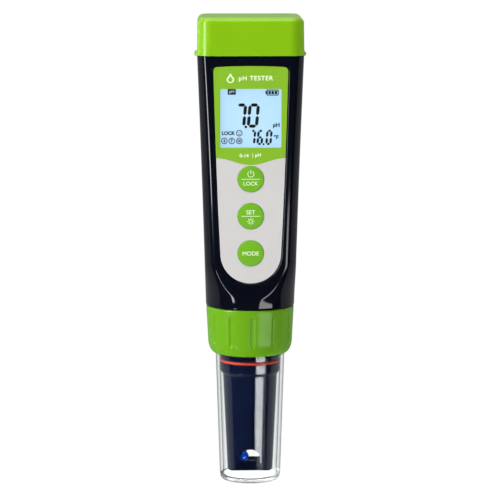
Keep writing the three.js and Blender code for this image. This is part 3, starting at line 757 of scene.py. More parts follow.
def film_legends():
    line = up_face(155.3)
    drops = [drop_outline((-7.6, line - 0.1), 2.3), drop_outline((-7.6, line - 0.25), 1.5)]
    drop = sheet("drop", drops, 0, INK)
    title = word("title", "pH TESTER", (1.9, line), 1.75, spacing=1.12, bold=0.03)
    low_line = up_face(126.6)
    span = word("span", "0-14", (-2.5, low_line), 1.35, bold=0.02)
    divider = sheet("divider", [bar((0.7, low_line), 0.08, 0.95)], 0, INK)
    unit = word("unit", "pH", (2.7, low_line), 1.35, bold=0.02)
    return merge("film_legends", [drop, title, span, divider, unit])


place(film_legends(), legend_ink, "handle")

# %% [markdown]
# ## The backlit display
# The display is a reflective LCD over a pale blue backlight. The panel gives off light by itself, so
# it stays bright while the handle's front stays dark. It is a little brighter at its centre, where
# the light guide is fed.

# %% Backlit liquid crystal glass


def backlit_glass():
    material, tree = new_material("backlit_liquid_crystal_glass")
    place_at = add_node(tree, "TexCoord").outputs["Object"]
    pane_low, pane_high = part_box("lcd_panel")
    middle = (Vector(pane_low) + Vector(pane_high)) / 2
    offset = add_node(tree, "VectorMath", {0: place_at, 1: middle}, operation="DISTANCE")
    fade = {1: 4 * MM, 2: 16 * MM, 3: 1.0, 4: 0.0}
    glow = add_node(tree, "MapRange", {0: offset.outputs["Value"], **fade})
    colours = add_node(
        tree,
        "Mix",
        {0: glow.outputs[0], "A": linear("#B9E0FF"), "B": linear("#C4E6FF")},
        data_type="RGBA",
    )
    cells = add_node(tree, "TexNoise", {"Vector": place_at, "Scale": 1 / (0.3 * MM), "Detail": 1.0})
    bump = add_node(tree, "Bump", {"Height": cells.outputs[0], "Distance": 0.001 * MM})
    shader = add_node(
        tree,
        "BsdfPrincipled",
        {
            "Base Color": linear("#5C7890"),
            "Roughness": 0.25,
            "Emission Color": colours.outputs["Result"],
            "Emission Strength": 0.8,
            "Normal": bump.outputs[0],
        },
    )
    close_material(tree, shader)
    return material


def paint(node, material, bevel_mm=0.0):
    """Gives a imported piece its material, and softens its edges."""
    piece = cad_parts[node]
    piece.data.materials.clear()
    piece.data.materials.append(material)
    if bevel_mm:
        modifier = piece.modifiers.new("softened_edges", "BEVEL")
        modifier.width = bevel_mm * MM
        modifier.segments = 2
        modifier.limit_method = "ANGLE"
        modifier.angle_limit = math.radians(40)
        modifier.harden_normals = True
    return piece


paint("lcd_panel", backlit_glass())

# %% [markdown]
# ## Segments
# A seven-segment digit is seven six-sided bars. They lean a little, as on most meters.

# %% Seven-segment digits
SEGMENTS = {"0": "abcdef", "6": "acdefg", "7": "abc"}
LEAN = 0.09
WINDOW_CENTRE = (up_face(WINDOW["low"]) + up_face(WINDOW["high"])) / 2


def segment(start, end, half, cut=0.12):
    start, end = Vector(start), Vector(end)
    along = (end - start).normalized()
    side = Vector((-along.y, along.x)) * half
    a, b = start + along * cut, end - along * cut
    near, far = a + along * half, b - along * half
    return [a, near + side, far + side, b, far - side, near - side]


def digit(figure, left, foot, width, tall, half):
    top, middle = foot + tall, foot + tall / 2
    right = left + width
    bars = {
        "a": ((left, top), (right, top)),
        "b": ((right, top), (right, middle)),
        "c": ((right, middle), (right, foot)),
        "d": ((left, foot), (right, foot)),
        "e": ((left, middle), (left, foot)),
        "f": ((left, top), (left, middle)),
        "g": ((left, middle), (right, middle)),
    }
    outlines = [segment(*bars[key], half) for key in SEGMENTS[figure]]
    return [[Vector((p.x + LEAN * (p.y - foot), p.y)) for p in outline] for outline in outlines]


def shifted(outlines):
    return [[Vector((p[0], p[1] + WINDOW_CENTRE)) for p in outline] for outline in outlines]


def display_outlines():
    shapes = digit("7", -5.6, -2.95, 2.95, 7.9, 0.6) + digit("0", -0.95, -2.95, 3.05, 7.9, 0.6)
    shapes += digit("7", -0.2, -9.65, 1.4, 4.9, 0.43) + digit("6", 2.5, -9.65, 1.5, 4.9, 0.43)
    shapes += digit("0", 5.8, -9.65, 1.5, 4.9, 0.43)
    shapes += [disc((-1.85, -3.25), 0.5, 16), disc((4.75, -9.75), 0.38, 12)]
    shapes += [bar((-7.1, 9.85), 1.5, 1.05, 0.15)]
    shapes += [bar((x, 9.6), 0.46, 0.6, 0.05) for x in (7.0, 8.15, 9.3)]
    return shapes


LCD_OUT = -0.86


def make_segments():
    parts = [
        sheet(f"bar_{i}", shifted([outline]), LCD_OUT, LCD_OUT + INK)
        for i, outline in enumerate(display_outlines())
    ]
    battery = [bar((8.1, 9.6), 2.25, 1.1, 0.35), bar((8.15, 9.6), 1.85, 0.78, 0.2)]
    parts.append(sheet("battery_outline", shifted(battery), LCD_OUT, LCD_OUT + INK))
    parts.append(sheet("battery_nub", shifted([bar((5.65, 9.6), 0.2, 0.5)]), LCD_OUT, LCD_OUT + INK))
    circles = [(-9.85, -8.5), (-7.1, -8.5), (-4.3, -8.5), (-4.3, -5.6)]
    for i, centre in enumerate(circles):
        rings = shifted(ring_outlines(centre, 1.2, 0.3, 32))
        parts.append(sheet(f"circle_{i}", rings, LCD_OUT, LCD_OUT + INK))
    words = [("pH", (9.5, -2.75), 1.5), ("°F", (9.5, -7.1), 1.5), ("LOCK", (-8.3, -5.6), 1.3),
             ("4", (-9.85, -8.5), 1.1), ("7", (-7.1, -8.5), 1.1), ("10", (-4.3, -8.5), 0.95)]
    for i, (text, centre, tall) in enumerate(words):
        at = (centre[0], centre[1] + WINDOW_CENTRE)
        parts.append(word(f"word_{i}", text, at, tall, out=LCD_OUT, bold=0.08))
    sign = [disc((x, -5.35), 0.16, 10) for x in (-4.68, -3.92)] + [bar((-4.3, -6.05), 0.45, 0.11)]
    for i, outline in enumerate(sign):
        parts.append(sheet(f"face_{i}", shifted([outline]), LCD_OUT, LCD_OUT + INK))
    return merge("display_segments", parts)


place(make_segments(), segment_ink, "handle")
caption = word("caption_unit", "pH", (-7.1, 9.85 + WINDOW_CENTRE), 1.15, out=LCD_OUT + 0.035, bold=0.02)
place(caption, ink("unpowered_segment", "#BFE3FF", "#B4DBFA", 0.4), "handle")

# %% [markdown]
# ## The window
# A pane of clear acrylic closes the display. It is thin and flat, so it doesn't bend what lies behind
# it, and an anti-glare coat leaves only a hint of the lights on it.

# %% Clear acrylic
PANE_MIRROR = 0.015


def clear_wall(tree, share, tint, **gloss):
    """A thin clear wall: it lets light straight through, tinted, and mirrors a share of it."""
    through = add_node(tree, "BsdfTransparent", {"Color": tint})
    mirror = add_node(tree, "BsdfPrincipled", {"Base Color": linear("#F2F4F4"), "Metallic": 1.0, **gloss})
    return add_node(tree, "MixShader", {0: share, 1: through.outputs[0], 2: mirror.outputs[0]})


def clear_acrylic():
    material, tree = new_material("clear_cast_acrylic")
    place_at = add_node(tree, "TexCoord").outputs["Object"]
    haze = add_node(tree, "TexNoise", {"Vector": place_at, "Scale": 1 / (6 * MM), "Detail": 2.0})
    rough = add_node(tree, "MapRange", {0: haze.outputs[0], 1: 0.3, 2: 0.7, 3: 0.01, 4: 0.04})
    close_material(tree, clear_wall(tree, PANE_MIRROR, linear("#FCFDFD"), Roughness=rough.outputs[0]))
    return material


paint("display_window", clear_acrylic(), 0.08)

# %% [markdown]
# ## Keys
# Each key is a low dome embossed in the film, 10 mm across, with a soft step round its rim. The dome
# and its printed legend ride on the key's own body, so they sink together when it is pressed.

# %% Shape one key


film_looks = {"Roughness": 0.4, "IOR": 1.5}
green_film = grained(
    "embossed_green_key_film", "#67A806", "#62A104", (9, 1.0), (0.35, 3.0), 0.003, **film_looks
)


def dome_height(radius):
    return 0.39 - 0.13 * (radius / 4.35) ** 2


def make_key(name, z):
    profile = [(0.02, -0.4), (KEY_RADIUS - 0.1, -0.4), (KEY_RADIUS, -0.3), (KEY_RADIUS, -0.02)]
    profile += arc((KEY_RADIUS - 0.25, -0.02), 0.25, 20, 80, 4)
    profile += [(r, dome_height(r)) for r in (4.35, 4.0, 3.4, 2.6, 1.8, 1.0, 0.02)]
    dome = turned(name + "_dome", profile, 72)
    dome.data.transform(FACE_MATRIX @ Matrix.Translation((0, up_face(z), 0)))
    return place(dome, green_film, name + "_button", name + "_key")


for key_name, key_z in KEY_HEIGHTS.items():
    make_key(key_name, key_z)

# %% [markdown]
# ## Key legends
# The first key carries a power sign over a word, the second a word over a lamp sign, the third a
# word alone. The words are plain function names.

# %% Print the keys' legends


def power_sign(centre):
    radius, width = 1.25, 0.2
    start, end = math.radians(125), math.radians(415)
    angles = [start + (end - start) * i / 36 for i in range(37)]
    outer = [Vector(centre) + radius * Vector((math.cos(a), math.sin(a))) for a in angles]
    inner = [
        Vector(centre) + (radius - width) * Vector((math.cos(a), math.sin(a)))
        for a in reversed(angles)
    ]
    return [outer + inner, bar((centre[0], centre[1] + 0.75), 0.1, 0.75)]


def lamp_sign(centre):
    rays = []
    for i in range(8):
        a = math.pi * i / 4
        direction = Vector((math.cos(a), math.sin(a)))
        side = Vector((-direction.y, direction.x)) * 0.085
        inner, outer = Vector(centre) + direction * 0.95, Vector(centre) + direction * 1.4
        rays.append([inner - side, outer - side, outer + side, inner + side])
    return rays


def rule(name, up):
    """A thin line in short lengths, so that it follows the dome."""
    steps = [-3.15 + 0.7 * i for i in range(10)]
    return [sheet(f"{name}_{i}", [bar((x, up), 0.352, 0.09)], 0, INK) for i, x in enumerate(steps)]


def make_legend(name, z, build):
    centre = up_face(z)
    piece = merge(name + "_legend", build(centre))
    to_face = FACE_MATRIX.inverted()
    for vertex in piece.data.vertices:
        point = to_face @ vertex.co
        lift = dome_height(math.hypot(point.x, point.y - centre))
        vertex.co = FACE_MATRIX @ Vector((point.x, point.y, point.z + lift))
    return place(piece, legend_ink, name + "_button")


def power_parts(centre):
    sign = power_sign((0, centre + 2.0))
    parts = [sheet(f"power_{i}", [outline], 0, INK) for i, outline in enumerate(sign)]
    parts += rule("power_rule", centre + 0.02)
    parts.append(word("power_word", "LOCK", (0, centre - 1.6), 1.5))
    return parts


def calibrate_parts(centre):
    sign = (0, centre - 1.9)
    parts = [sheet(f"ray_{i}", [o], 0, INK) for i, o in enumerate(lamp_sign(sign))]
    parts.append(sheet("lamp", ring_outlines(sign, 0.75, 0.17, 28), 0, INK))
    parts += rule("lamp_rule", centre + 0.05)
    parts.append(word("calibrate_word", "SET", (0, centre + 1.55), 1.6))
    return parts


def unit_parts(centre):
    return [word("unit_word", "MODE", (0, centre), 1.6)]


for key_name, build in [("power", power_parts), ("calibrate", calibrate_parts), ("unit", unit_parts)]:
    make_legend(key_name, KEY_HEIGHTS[key_name], build)

# %% [markdown]
# ## The pull-off cap
# The cap covers the batteries. It is a hollow square lid with a generous round on its upper edge,
# and a small lug at the lower edge of each side to pull it by.

# %% Make the top cap


def copy_of(piece):
    return new_piece(piece.name + "_copy", piece.data.copy())


def pill(name, centre, half_x, half_z, half_length):
    """A bar with round ends that runs along Y."""
    rings = []
    for side in (-1, 1):
        for degrees in (88, 60, 30, 0)[:: 1 if side < 0 else -1]:
            a = math.radians(degrees)
            y = side * (half_length - 1 + math.sin(a))
            rings.append([
                Vector((
                    centre[0] + half_x * math.cos(a) * math.cos(t),
                    centre[1] + y,
                    centre[2] + half_z * math.cos(a) * math.sin(t),
                ))
                for t in [2 * math.pi * i / 24 for i in range(24)]
            ])
    return loft(name, rings)


def make_top_cap():
    foot, top = cap_low.z + 0.3, cap_high.z
    foot_half, head_half, corner, edge = 20.03, 19.85, 5.6, 2.3
    levels = [(foot, foot_half - 0.25), (foot + 0.08, foot_half - 0.08), (foot + 0.25, foot_half)]
    levels += [(foot + 5, foot_half - 0.08), (top - edge, head_half)]
    for i in range(1, 13):
        a = i / 12 * math.pi / 2
        levels.append((top - edge + edge * math.sin(a), head_half - edge * (1 - math.cos(a))))
    rings = [at_height(rounded_outline(h, h, corner - (foot_half - h), 24, 12), z) for z, h in levels]
    cap = loft("pull_off_cap", rings)
    lugs = [pill(f"lug_{side}", (side * 20, 0, foot), 1.08, 0.95, 5) for side in (-1, 1)]
    room = loft("room", [at_height(rounded_outline(20.27, 20.27, 1, 4, 2), z) for z in (foot - 3, foot)])
    for lug in lugs:
        combine(lug, [copy_of(room)], "DIFFERENCE")
    bpy.data.objects.remove(room)
    combine(cap, lugs, "UNION")
    depths = [(foot - 1, 18.15), (top - 1.9, 17.95)]
    hollow = [at_height(rounded_outline(h, h, 5.0, 12, 6), z) for z, h in depths]
    combine(cap, [loft("hollow", hollow)], "DIFFERENCE")
    return place(cap, green_abs, "cap", "top_cap")


make_top_cap()

# %% [markdown]
# ## The locking ring
# The ring clamps the electrode to the handle. Twelve shallow concave grooves let wet fingers turn
# it. The grooves are hollowed out of the turned shape here, fading at their ends as they do where a
# tapered mould core leaves the part.

# %% Make the locking ring
GROOVES = 12
GROOVE_HALF_WIDTH = 0.98
GROOVE_DEPTH = 0.46


def smooth_step(low, high, value):
    t = min(max((value - low) / (high - low), 0), 1)
    return t * t * (3 - 2 * t)


def groove_depth(angle, radius, z):
    pitch = 2 * math.pi / GROOVES
    offset = (angle - math.radians(-90 + 2.7) + pitch / 2) % pitch - pitch / 2
    fade = smooth_step(52.8, 54.2, z) * (1 - smooth_step(64.0, 65.4, z))
    width = GROOVE_HALF_WIDTH * math.sqrt(max(fade, 0))
    across = abs(offset) * radius
    return GROOVE_DEPTH * fade * max(0, 1 - (across / width) ** 2) if width > 0 else 0.0


def make_ring():
    foot, top = ring_low.z, ring_high.z
    outer = [(12.2, foot), (13.0, foot), (13.3, foot + 0.1)]
    for i in range(1, 17):
        a = i / 16 * math.pi / 2
        outer.append((13.3 + 2.8 * math.sin(a), 55.2 - (55.1 - foot) * math.cos(a)))
    outer += [(16.1 + 0.62 * (z - 55.2) / 12.1, z) for z in steps_between(55.6, top - 0.5, 0.4)]
    outer += [(16.69, top - 0.3), (16.6, top - 0.12), (16.44, top)]
    inner = [(15.1, top), (15.1, 52.4), (11.9, 52.4), (11.9, foot + 0.3)]
    steps = 720
    rings = []
    for k, (radius, z) in enumerate(outer + inner):
        ring = []
        for i in range(steps):
            a = 2 * math.pi * i / steps
            r = radius - (groove_depth(a, radius, z) if k < len(outer) else 0)
            ring.append(Vector((r * math.cos(a), r * math.sin(a), z)))
        rings.append(ring)
    ring = loft("fluted_locking_ring", rings, closed=True)
    combine(ring, [thread_ridge("ring_thread", 15.4, 14.35, THREAD_LOW + PITCH / 2)], "UNION")
    return place(ring, ring_abs, "ring", "locking_ring", angle=28)


make_ring()

# %% [markdown]
# ## The electrode's stem
# The stem is one navy moulding: a collar with a groove for a red sealing ring, a cone down to the
# tip, and an arched window right through the tip so that water can wash round the glass bulb.

# %% Make the stem
SEAL_LOW, SEAL_HIGH = box_mm("cap_seal")[0].z, box_mm("cap_seal")[1].z


def prism(name, outline, front, back):
    """An upright outline pushed through from front to back."""
    return loft(name, [[Vector((p.x, y, p.y)) for p in outline] for y in (front, back)])


def make_stem():
    tip, sill, spring, half = stem_low.z, 7.68, 9.21, 3.74
    seal = (SEAL_LOW + SEAL_HIGH) / 2
    profile = [(7.9, tip), (8.25, tip + 0.02), (8.5, tip + 0.13), (8.62, tip + 0.35), (8.66, tip + 0.6)]
    profile += [(10.37, 41.1), (11.25, 42.3), (11.37, 42.4), (11.41, 42.55)]
    profile += [(11.41, seal - 0.73), (11.33, seal - 0.65), (10.35, seal - 0.65)]
    profile += [(10.35, seal + 0.65), (11.33, seal + 0.65), (11.41, seal + 0.73)]
    profile += [(11.41, 53.2), (14, 53.2), (14, 55.7), (11.5, 55.7), (11.5, 61)]
    stem = turned("electrode_stem", profile, 160)

    arch = [Vector((half, sill)), Vector((-half, sill))]
    arch[1:1] = [Vector((half * math.cos(a), spring + half * math.sin(a)))
                 for a in [math.pi * i / 40 for i in range(41)]]
    feet = [(-8.5, tip - 1), (8.5, tip - 1), (half, sill + 0.01), (-half, sill + 0.01)]
    feet = [Vector(point) for point in feet]
    spans = [("front_feet", -12, -3.8), ("back_feet", 3.8, 12)]
    cuts = [prism("arch", arch, -12, 12)] + [prism(name, feet, *ends) for name, *ends in spans]
    chamber = loft("chamber", [at_height(rounded_outline(6.7, 5.2, 1.5, 8, 4), z) for z in (sill, 14.5)])
    well = loft("well", [at_height(rounded_outline(6.2, 2.9, 2.5, 8, 4), z) for z in (tip - 1, sill + 1)])
    reservoir = turned("reservoir", [(5.8, 18), (7.4, 40), (9, 44), (9, 62)], 48)
    holes = [
        turned(f"hole_{i}", [(radius, 13.5), (radius, 19)], 32, centre=centre)
        for i, (centre, radius) in enumerate([((-2.9, 0), 1.9), ((3.9, 0), 1.4), ((1.2, 3.2), 1.2)])
    ]
    combine(stem, [*cuts, chamber, well, reservoir, *holes], "DIFFERENCE")
    return place(stem, navy_abs, "electrode", "probe_body")


make_stem()

# %% [markdown]
# ## Rubber
# Seals are silicone or nitrile rubber: matt, slightly dusty to the eye, with a fine moulding texture.

# %% Rubber and the sealing rings


def rubber(name, colour, shade, roughness):
    bloom = {"Roughness": roughness, "Sheen Weight": 0.15, "Sheen Roughness": 0.5}
    return grained(name, colour, shade, (4, 2.0), (0.25, 4.0), 0.01, **bloom)


red_silicone = rubber("red_silicone", "#DB3B22", "#CF3319", 0.42)
black_nitrile = rubber("black_nitrile", "#17181A", "#202123", 0.6)


def make_seal(name, radius, thickness, z, material, body, node):
    profile = [(radius + thickness * math.cos(a), z + thickness * math.sin(a))
               for a in [2 * math.pi * i / 20 for i in range(20)]]
    return place(turned(name, profile, 128, closed=True), material, body, node, angle=80)


SEAL_LEVEL = (SEAL_LOW + SEAL_HIGH) / 2
make_seal("red_sealing_ring", 11.01, 0.55, SEAL_LEVEL, red_silicone, "electrode", "cap_seal")
neck_low, neck_high = box_mm("neck_seal")
neck_thickness = (neck_high.z - neck_low.z) / 2
make_seal("neck_sealing_ring", neck_high.x - neck_thickness, neck_thickness,
          (neck_low.z + neck_high.z) / 2, black_nitrile, "handle", "neck_seal")

# %% [markdown]
# ## The glass bulb
# The pH bulb is a thin blown bubble of lithium glass on a glass tube, filled with a blue-tinted
# solution. Light passes the glass almost unchanged and the fill gives the deep blue. The fill also
# gives off a faint blue light of its own: painted light that stands in for light passing through it.

# %% Electrode glass and its fill


def electrode_glass():
    material, tree = new_material("lithium_electrode_glass")
    place_at = add_node(tree, "TexCoord").outputs["Object"]
    draw = add_node(tree, "TexNoise", {"Vector": place_at, "Scale": 1 / (3 * MM), "Detail": 2.0})
    rough = add_node(tree, "MapRange", {0: draw.outputs[0], 1: 0.3, 2: 0.7, 3: 0.01, 4: 0.05})
    shader = add_node(
        tree,
        "BsdfPrincipled",
        {
            "Base Color": linear("#EAF4FF"),
            "Roughness": rough.outputs[0],
            "IOR": 1.52,
            "Transmission Weight": 1.0,
        },
    )
    close_material(tree, shader)
    return material


# The fill's blue emission is painted light, a faint glow standing in for light that reaches it through
# the glass from behind.
glow = {"Emission Color": linear("#0A5CE0"), "Emission Strength": 0.35, "IOR": 1.34}
blue_fill = moulded("blue_electrolyte", "#0560E8", "#0456D8", 0.12, 1.5, 0.001, **glow)
BULB = {"x": -2.9, "z": 8.4, "radius": 2.45, "neck": 1.6, "glass": 0.12}


def bulb_profile(inset, top, steps=18):
    radius, neck = BULB["radius"] - inset, BULB["neck"] - inset
    end = math.degrees(math.acos(neck / radius))
    return arc((0, BULB["z"]), radius, -89, end, steps) + [(neck, top)]


centre = (BULB["x"], 0)
outside = bulb_profile(0, 47)
inside = bulb_profile(BULB["glass"], 47)[::-1]
glass = turned("glass_bulb", outside + inside, 64, centre)
place(glass, electrode_glass(), "electrode", "sensing_glass", angle=60)
fill = turned("blue_fill", bulb_profile(0.16, 34), 64, centre)
place(fill, blue_fill, "electrode", "bulb_electrolyte", angle=60)

# %% [markdown]
# ## The clear storage cap
# The cap that keeps the bulb wet is moulded in clear polystyrene. Its walls are thin and parallel, so
# they don't bend what stands behind them. They let light straight through, mirror next to nothing
# face on, and dim and mirror it edge on, which draws the cap's thin grey outline. The solid foot is
# thick, so only there light is bent as it passes, which gives a faint crescent.

# %% Clear polystyrene
FACE_ON_MIRROR = 0.005
FOOT_TOP = 2.3


def clear_polystyrene():
    material, tree = new_material("clear_polystyrene")
    place_at = add_node(tree, "TexCoord").outputs["Object"]
    flow = add_node(tree, "TexNoise", {"Vector": place_at, "Scale": 1 / (12 * MM), "Detail": 2.0})
    rough = add_node(tree, "MapRange", {0: flow.outputs[0], 1: 0.3, 2: 0.7, 3: 0.02, 4: 0.05})
    bump = add_node(tree, "Bump", {"Height": flow.outputs[0], "Distance": 0.01 * MM})
    weight = add_node(tree, "LayerWeight", {"Blend": 0.5, "Normal": bump.outputs[0]})
    steep = add_node(tree, "Math", {0: weight.outputs["Facing"], 1: 5.0}, operation="POWER")
    share = {0: steep.outputs[0], 1: 1 - FACE_ON_MIRROR, 2: FACE_ON_MIRROR}
    mirrored = add_node(tree, "Math", share, operation="MULTIPLY_ADD")
    tint = add_node(
        tree,
        "Mix",
        {0: steep.outputs[0], "A": linear("#FDFEFE"), "B": linear("#9BA2A6")},
        data_type="RGBA",
    )
    skin = {"Roughness": rough.outputs[0], "Normal": bump.outputs[0]}
    thin_wall = clear_wall(tree, mirrored.outputs[0], tint.outputs["Result"], **skin)
    glass = {"Base Color": linear("#FDFEFE"), "IOR": 1.49, "Transmission Weight": 1.0, **skin}
    solid_foot = add_node(tree, "BsdfPrincipled", glass)
    axes = add_node(tree, "SeparateXYZ", {0: place_at})
    band = {1: FOOT_TOP * MM, 2: (FOOT_TOP - 0.4) * MM, 3: 0.0, 4: 1.0}
    foot = add_node(tree, "MapRange", {0: axes.outputs["Z"], **band})
    path = add_node(tree, "LightPath")
    lit = add_node(tree, "Math", {0: 1.0, 1: path.outputs["Is Shadow Ray"]}, operation="SUBTRACT")
    bent = add_node(tree, "Math", {0: foot.outputs[0], 1: lit.outputs[0]}, operation="MULTIPLY")
    walls = {0: bent.outputs[0], 1: thin_wall.outputs[0], 2: solid_foot.outputs[0]}
    close_material(tree, add_node(tree, "MixShader", walls))
    return material


def make_storage_cap():
    foot, lip = cup_low.z, cup_high.z
    outer = [(9.6, foot)] + arc((9.8, foot + 1.6), 1.6, -80, -5, 8) + [(11.62, foot + 3.0)]
    outer += [(11.62 + 1.53 * (z - 3) / 46, z) for z in steps_between(6, lip - 0.3, 4)] + [(13.05, lip)]
    inner = [(11.95, lip), (11.85, lip - 0.2), (11.84, lip - 0.5), (11.7, 43), (10.4, 3.4), (10.38, 3)]
    inner += arc((9.4, 2.6), 0.98, 0, -85, 6) + [(8.8, 1.6)]
    return place(
        turned("clear_storage_cap", outer + inner, 160),
        clear_polystyrene(),
        "soaker",
        "storage_cap",
        angle=35,
    )


make_storage_cap()

# %% [markdown]
# ## Metals
# Inside are springs of nickel-plated wire, stainless steel parts, gold-plated pins and silver wire.
# Drawn or stamped metal carries fine lines along one way, which stretch its reflections.

# %% A function for metals


def metal(name, colour, shade_colour, roughness, line_mm=0.12, stretch=(1, 1, 12)):
    material, tree = new_material(name)
    place_at = add_node(tree, "TexCoord").outputs["Object"]
    along = add_node(tree, "Mapping", {"Vector": place_at, "Scale": [1 / s for s in stretch]})
    fine = {"Scale": 1 / (line_mm * MM), "Detail": 2.0}
    lines = add_node(tree, "TexNoise", {"Vector": along.outputs[0], **fine})
    stain = add_node(tree, "TexNoise", {"Vector": place_at, "Scale": 1 / (3 * MM), "Detail": 3.0})
    colours = add_node(
        tree,
        "Mix",
        {0: stain.outputs[0], "A": linear(colour), "B": linear(shade_colour)},
        data_type="RGBA",
    )
    gloss = add_node(
        tree,
        "MapRange",
        {0: stain.outputs[0], 1: 0.3, 2: 0.7, 3: roughness * 0.8, 4: roughness * 1.2},
    )
    bump = add_node(tree, "Bump", {"Height": lines.outputs[0], "Distance": 0.004 * MM})
    shader = add_node(
        tree,
        "BsdfPrincipled",
        {
            "Base Color": colours.outputs["Result"],
            "Metallic": 1.0,
            "Roughness": gloss.outputs[0],
            "Normal": bump.outputs[0],
        },
    )
    close_material(tree, shader)
    return material


nickel = metal("nickel_plated_spring_steel", "#D2CDBF", "#C2BCAC", 0.2)
stainless = metal("drawn_stainless_steel", "#C3C6C9", "#B4B7BB", 0.26)
gold = metal("gold_flashed_brass", "#E0B458", "#D2A446", 0.16)
silver = metal("chlorided_silver_wire", "#C9C9CC", "#8F9094", 0.35)

# %% [markdown]
# ## Board, cells and small parts
# The circuit board has a green solder mask over copper, whose tracks show as slightly raised paler
# lines. The AAA cells have a printed jacket with one coloured band. The sensor's junction is a
# porous white ceramic, and the back carries a plain silver sticker.

# %% Circuit board


def solder_mask():
    material, tree = new_material("green_solder_mask")
    place_at = add_node(tree, "TexCoord").outputs["Object"]
    tracks = add_node(
        tree,
        "TexBrick",
        {
            "Vector": add_node(
                tree, "Mapping", {"Vector": place_at, "Rotation": (math.pi / 2, 0, 0)}
            ).outputs[0],
            "Scale": 1 / (8 * MM),
            "Mortar Size": 0.03,
            "Color1": linear("#0E5A2C"),
            "Color2": linear("#0C4F27"),
            "Mortar": linear("#23804A"),
        },
    )
    bump = add_node(tree, "Bump", {"Height": tracks.outputs["Fac"], "Distance": 0.03 * MM})
    shader = add_node(
        tree,
        "BsdfPrincipled",
        {"Base Color": tracks.outputs["Color"], "Roughness": 0.3, "Normal": bump.outputs[0]},
    )
    close_material(tree, shader)
    return material


# %% Battery jacket


def battery_jacket():
    material, tree = new_material("printed_battery_jacket")
    place_at = add_node(tree, "TexCoord").outputs["Object"]
    axes = add_node(tree, "SeparateXYZ", {0: place_at})
    low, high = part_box("battery_cell_1")
    level = add_node(
        tree, "MapRange", {0: axes.outputs["Z"], 1: low[2], 2: high[2], 3: 0.0, 4: 1.0}
    )
    bands = add_node(tree, "ValToRGB", {0: level.outputs[0]})
    ramp = bands.color_ramp
    ramp.interpolation = "CONSTANT"
    ramp.elements[0].color = linear("#BFC1C4")
    ramp.elements[1].position, ramp.elements[1].color = 0.03, linear("#23303B")
    for position, colour in ((0.66, "#C9782C"), (0.94, "#BFC1C4")):
        ramp.elements.new(position).color = linear(colour)
    scuff = add_node(tree, "TexNoise", {"Vector": place_at, "Scale": 1 / (1.5 * MM), "Detail": 4.0})
    gloss = add_node(tree, "MapRange", {0: scuff.outputs[0], 1: 0.3, 2: 0.7, 3: 0.2, 4: 0.34})
    shader = add_node(
        tree,
        "BsdfPrincipled",
        {"Base Color": bands.outputs[0], "Metallic": 0.55, "Roughness": gloss.outputs[0]},
    )
    close_material(tree, shader)
    return material


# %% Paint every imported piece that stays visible
sticker = ink("silver_polyester_sticker", "#B9BCC0", "#AEB2B7", 0.38)
ceramic = rubber("porous_ceramic", "#F2F0EA", "#E3E0D6", 0.7)
elastomer = rubber("striped_silicone_connector", "#53575B", "#3C4043", 0.6)

FINISHES = [
    (diffuser, 0.15, ["backlight", "lcd_frame"]),
    (elastomer, 0.1, ["zebra_strip"]),
    (stainless, 0.08, ["power_switch", "calibrate_switch", "unit_switch", "temperature_sensor"]
     + [f"board_screw_{i}" for i in range(1, 5)]),
    (solder_mask(), 0.06, ["main_board"]),
    (socket_pbt, 0.12, ["microcontroller", "probe_socket", "probe_plug"]),
    (holder_abs, 0.15, ["battery_holder", "battery_lid"]),
    (battery_jacket(), 0.2, [f"battery_cell_{i}" for i in range(1, 5)]),
    (nickel, 0.0, [f"contact_spring_{i}" for i in range(1, 5)]),
    (nickel, 0.05, ["lid_contact_left", "lid_contact_right"]),
    (black_nitrile, 0.15, ["cap_gasket", "power_plunger", "calibrate_plunger", "unit_plunger"]),
    (sticker, 0.0, ["rating_label"]),
    (gold, 0.08, [f"socket_pin_{i}" for i in range(1, 5)]),
    (nylon, 0.04, ["slip_washer"]),
    (silver, 0.0, ["measuring_wire", "reference_wire"]),
    (ceramic, 0.1, ["reference_junction"]),
    (epoxy, 0.1, ["potting_plug"]),
]

for finish, edge, nodes in FINISHES:
    for node in nodes:
        paint(node, finish, edge)
    print(f"{finish.name}: {len(nodes)} packed pieces")

# %% [markdown]
# ## The back sticker
# The sticker on the back would carry a maker's data. Here it only shows the kind of supply and a
# sealing grade, in the same plain lettering.

# %% Print the back sticker
sticker_low, sticker_high = box_mm("rating_label")


def outermost(level):
    """The point furthest back on the sticker, near one of its ends."""
    points = [vertex.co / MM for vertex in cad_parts["rating_label"].data.vertices]
    return max((p for p in points if abs(p.z - level) < 2), key=lambda p: p.y)


def back_legends():
    foot, head = outermost(sticker_low.z), outermost(sticker_high.z)
    up = Vector((0, head.y - foot.y, head.z - foot.z)).normalized()
    across = Vector((-1, 0, 0))
    middle = Vector((0, (foot.y + head.y) / 2, (foot.z + head.z) / 2))
    to_back = Matrix.Translation(middle) @ Matrix((across, up, across.cross(up))).transposed().to_4x4()
    lines = [("pH / TEMP", 12), ("0-14 pH", 7.5), ("0-60 °C", 3.5), ("4 x 1.5 V", -3), ("IP67", -8)]
    parts = [
        word(f"back_{i}", text, (0, rise), 1.9, thickness=0.02) for i, (text, rise) in enumerate(lines)
    ]
    for part in parts:
        part.data.transform(to_back @ FACE_MATRIX.inverted())
    return merge("back_legends", parts)


back_ink = ink("grey_sticker_ink", "#2A2D31", "#33363A", 0.5)
place(back_legends(), back_ink, "handle")

# %% [markdown]
# ## The studio
# The probe stands on a round white floor. Behind it the surroundings are white, in front they are
# dark, so the flat face stays black and its edges light up. Mirrored rays pass through the floor,
# so the plastic mirrors only the softboxes and the dim wall. The camera's own rays pass it too
# and meet the same white behind, so the storage cap still shows when it is pulled down past the floor.
# A low softbox stands to the right, a narrow strip to the left, and a wide box hangs overhead.

# %% Floor
WALL_IN_REFLECTIONS = 0.27
FLOOR_BOUNCE = 0.3
FLOOR_RADIUS = 8


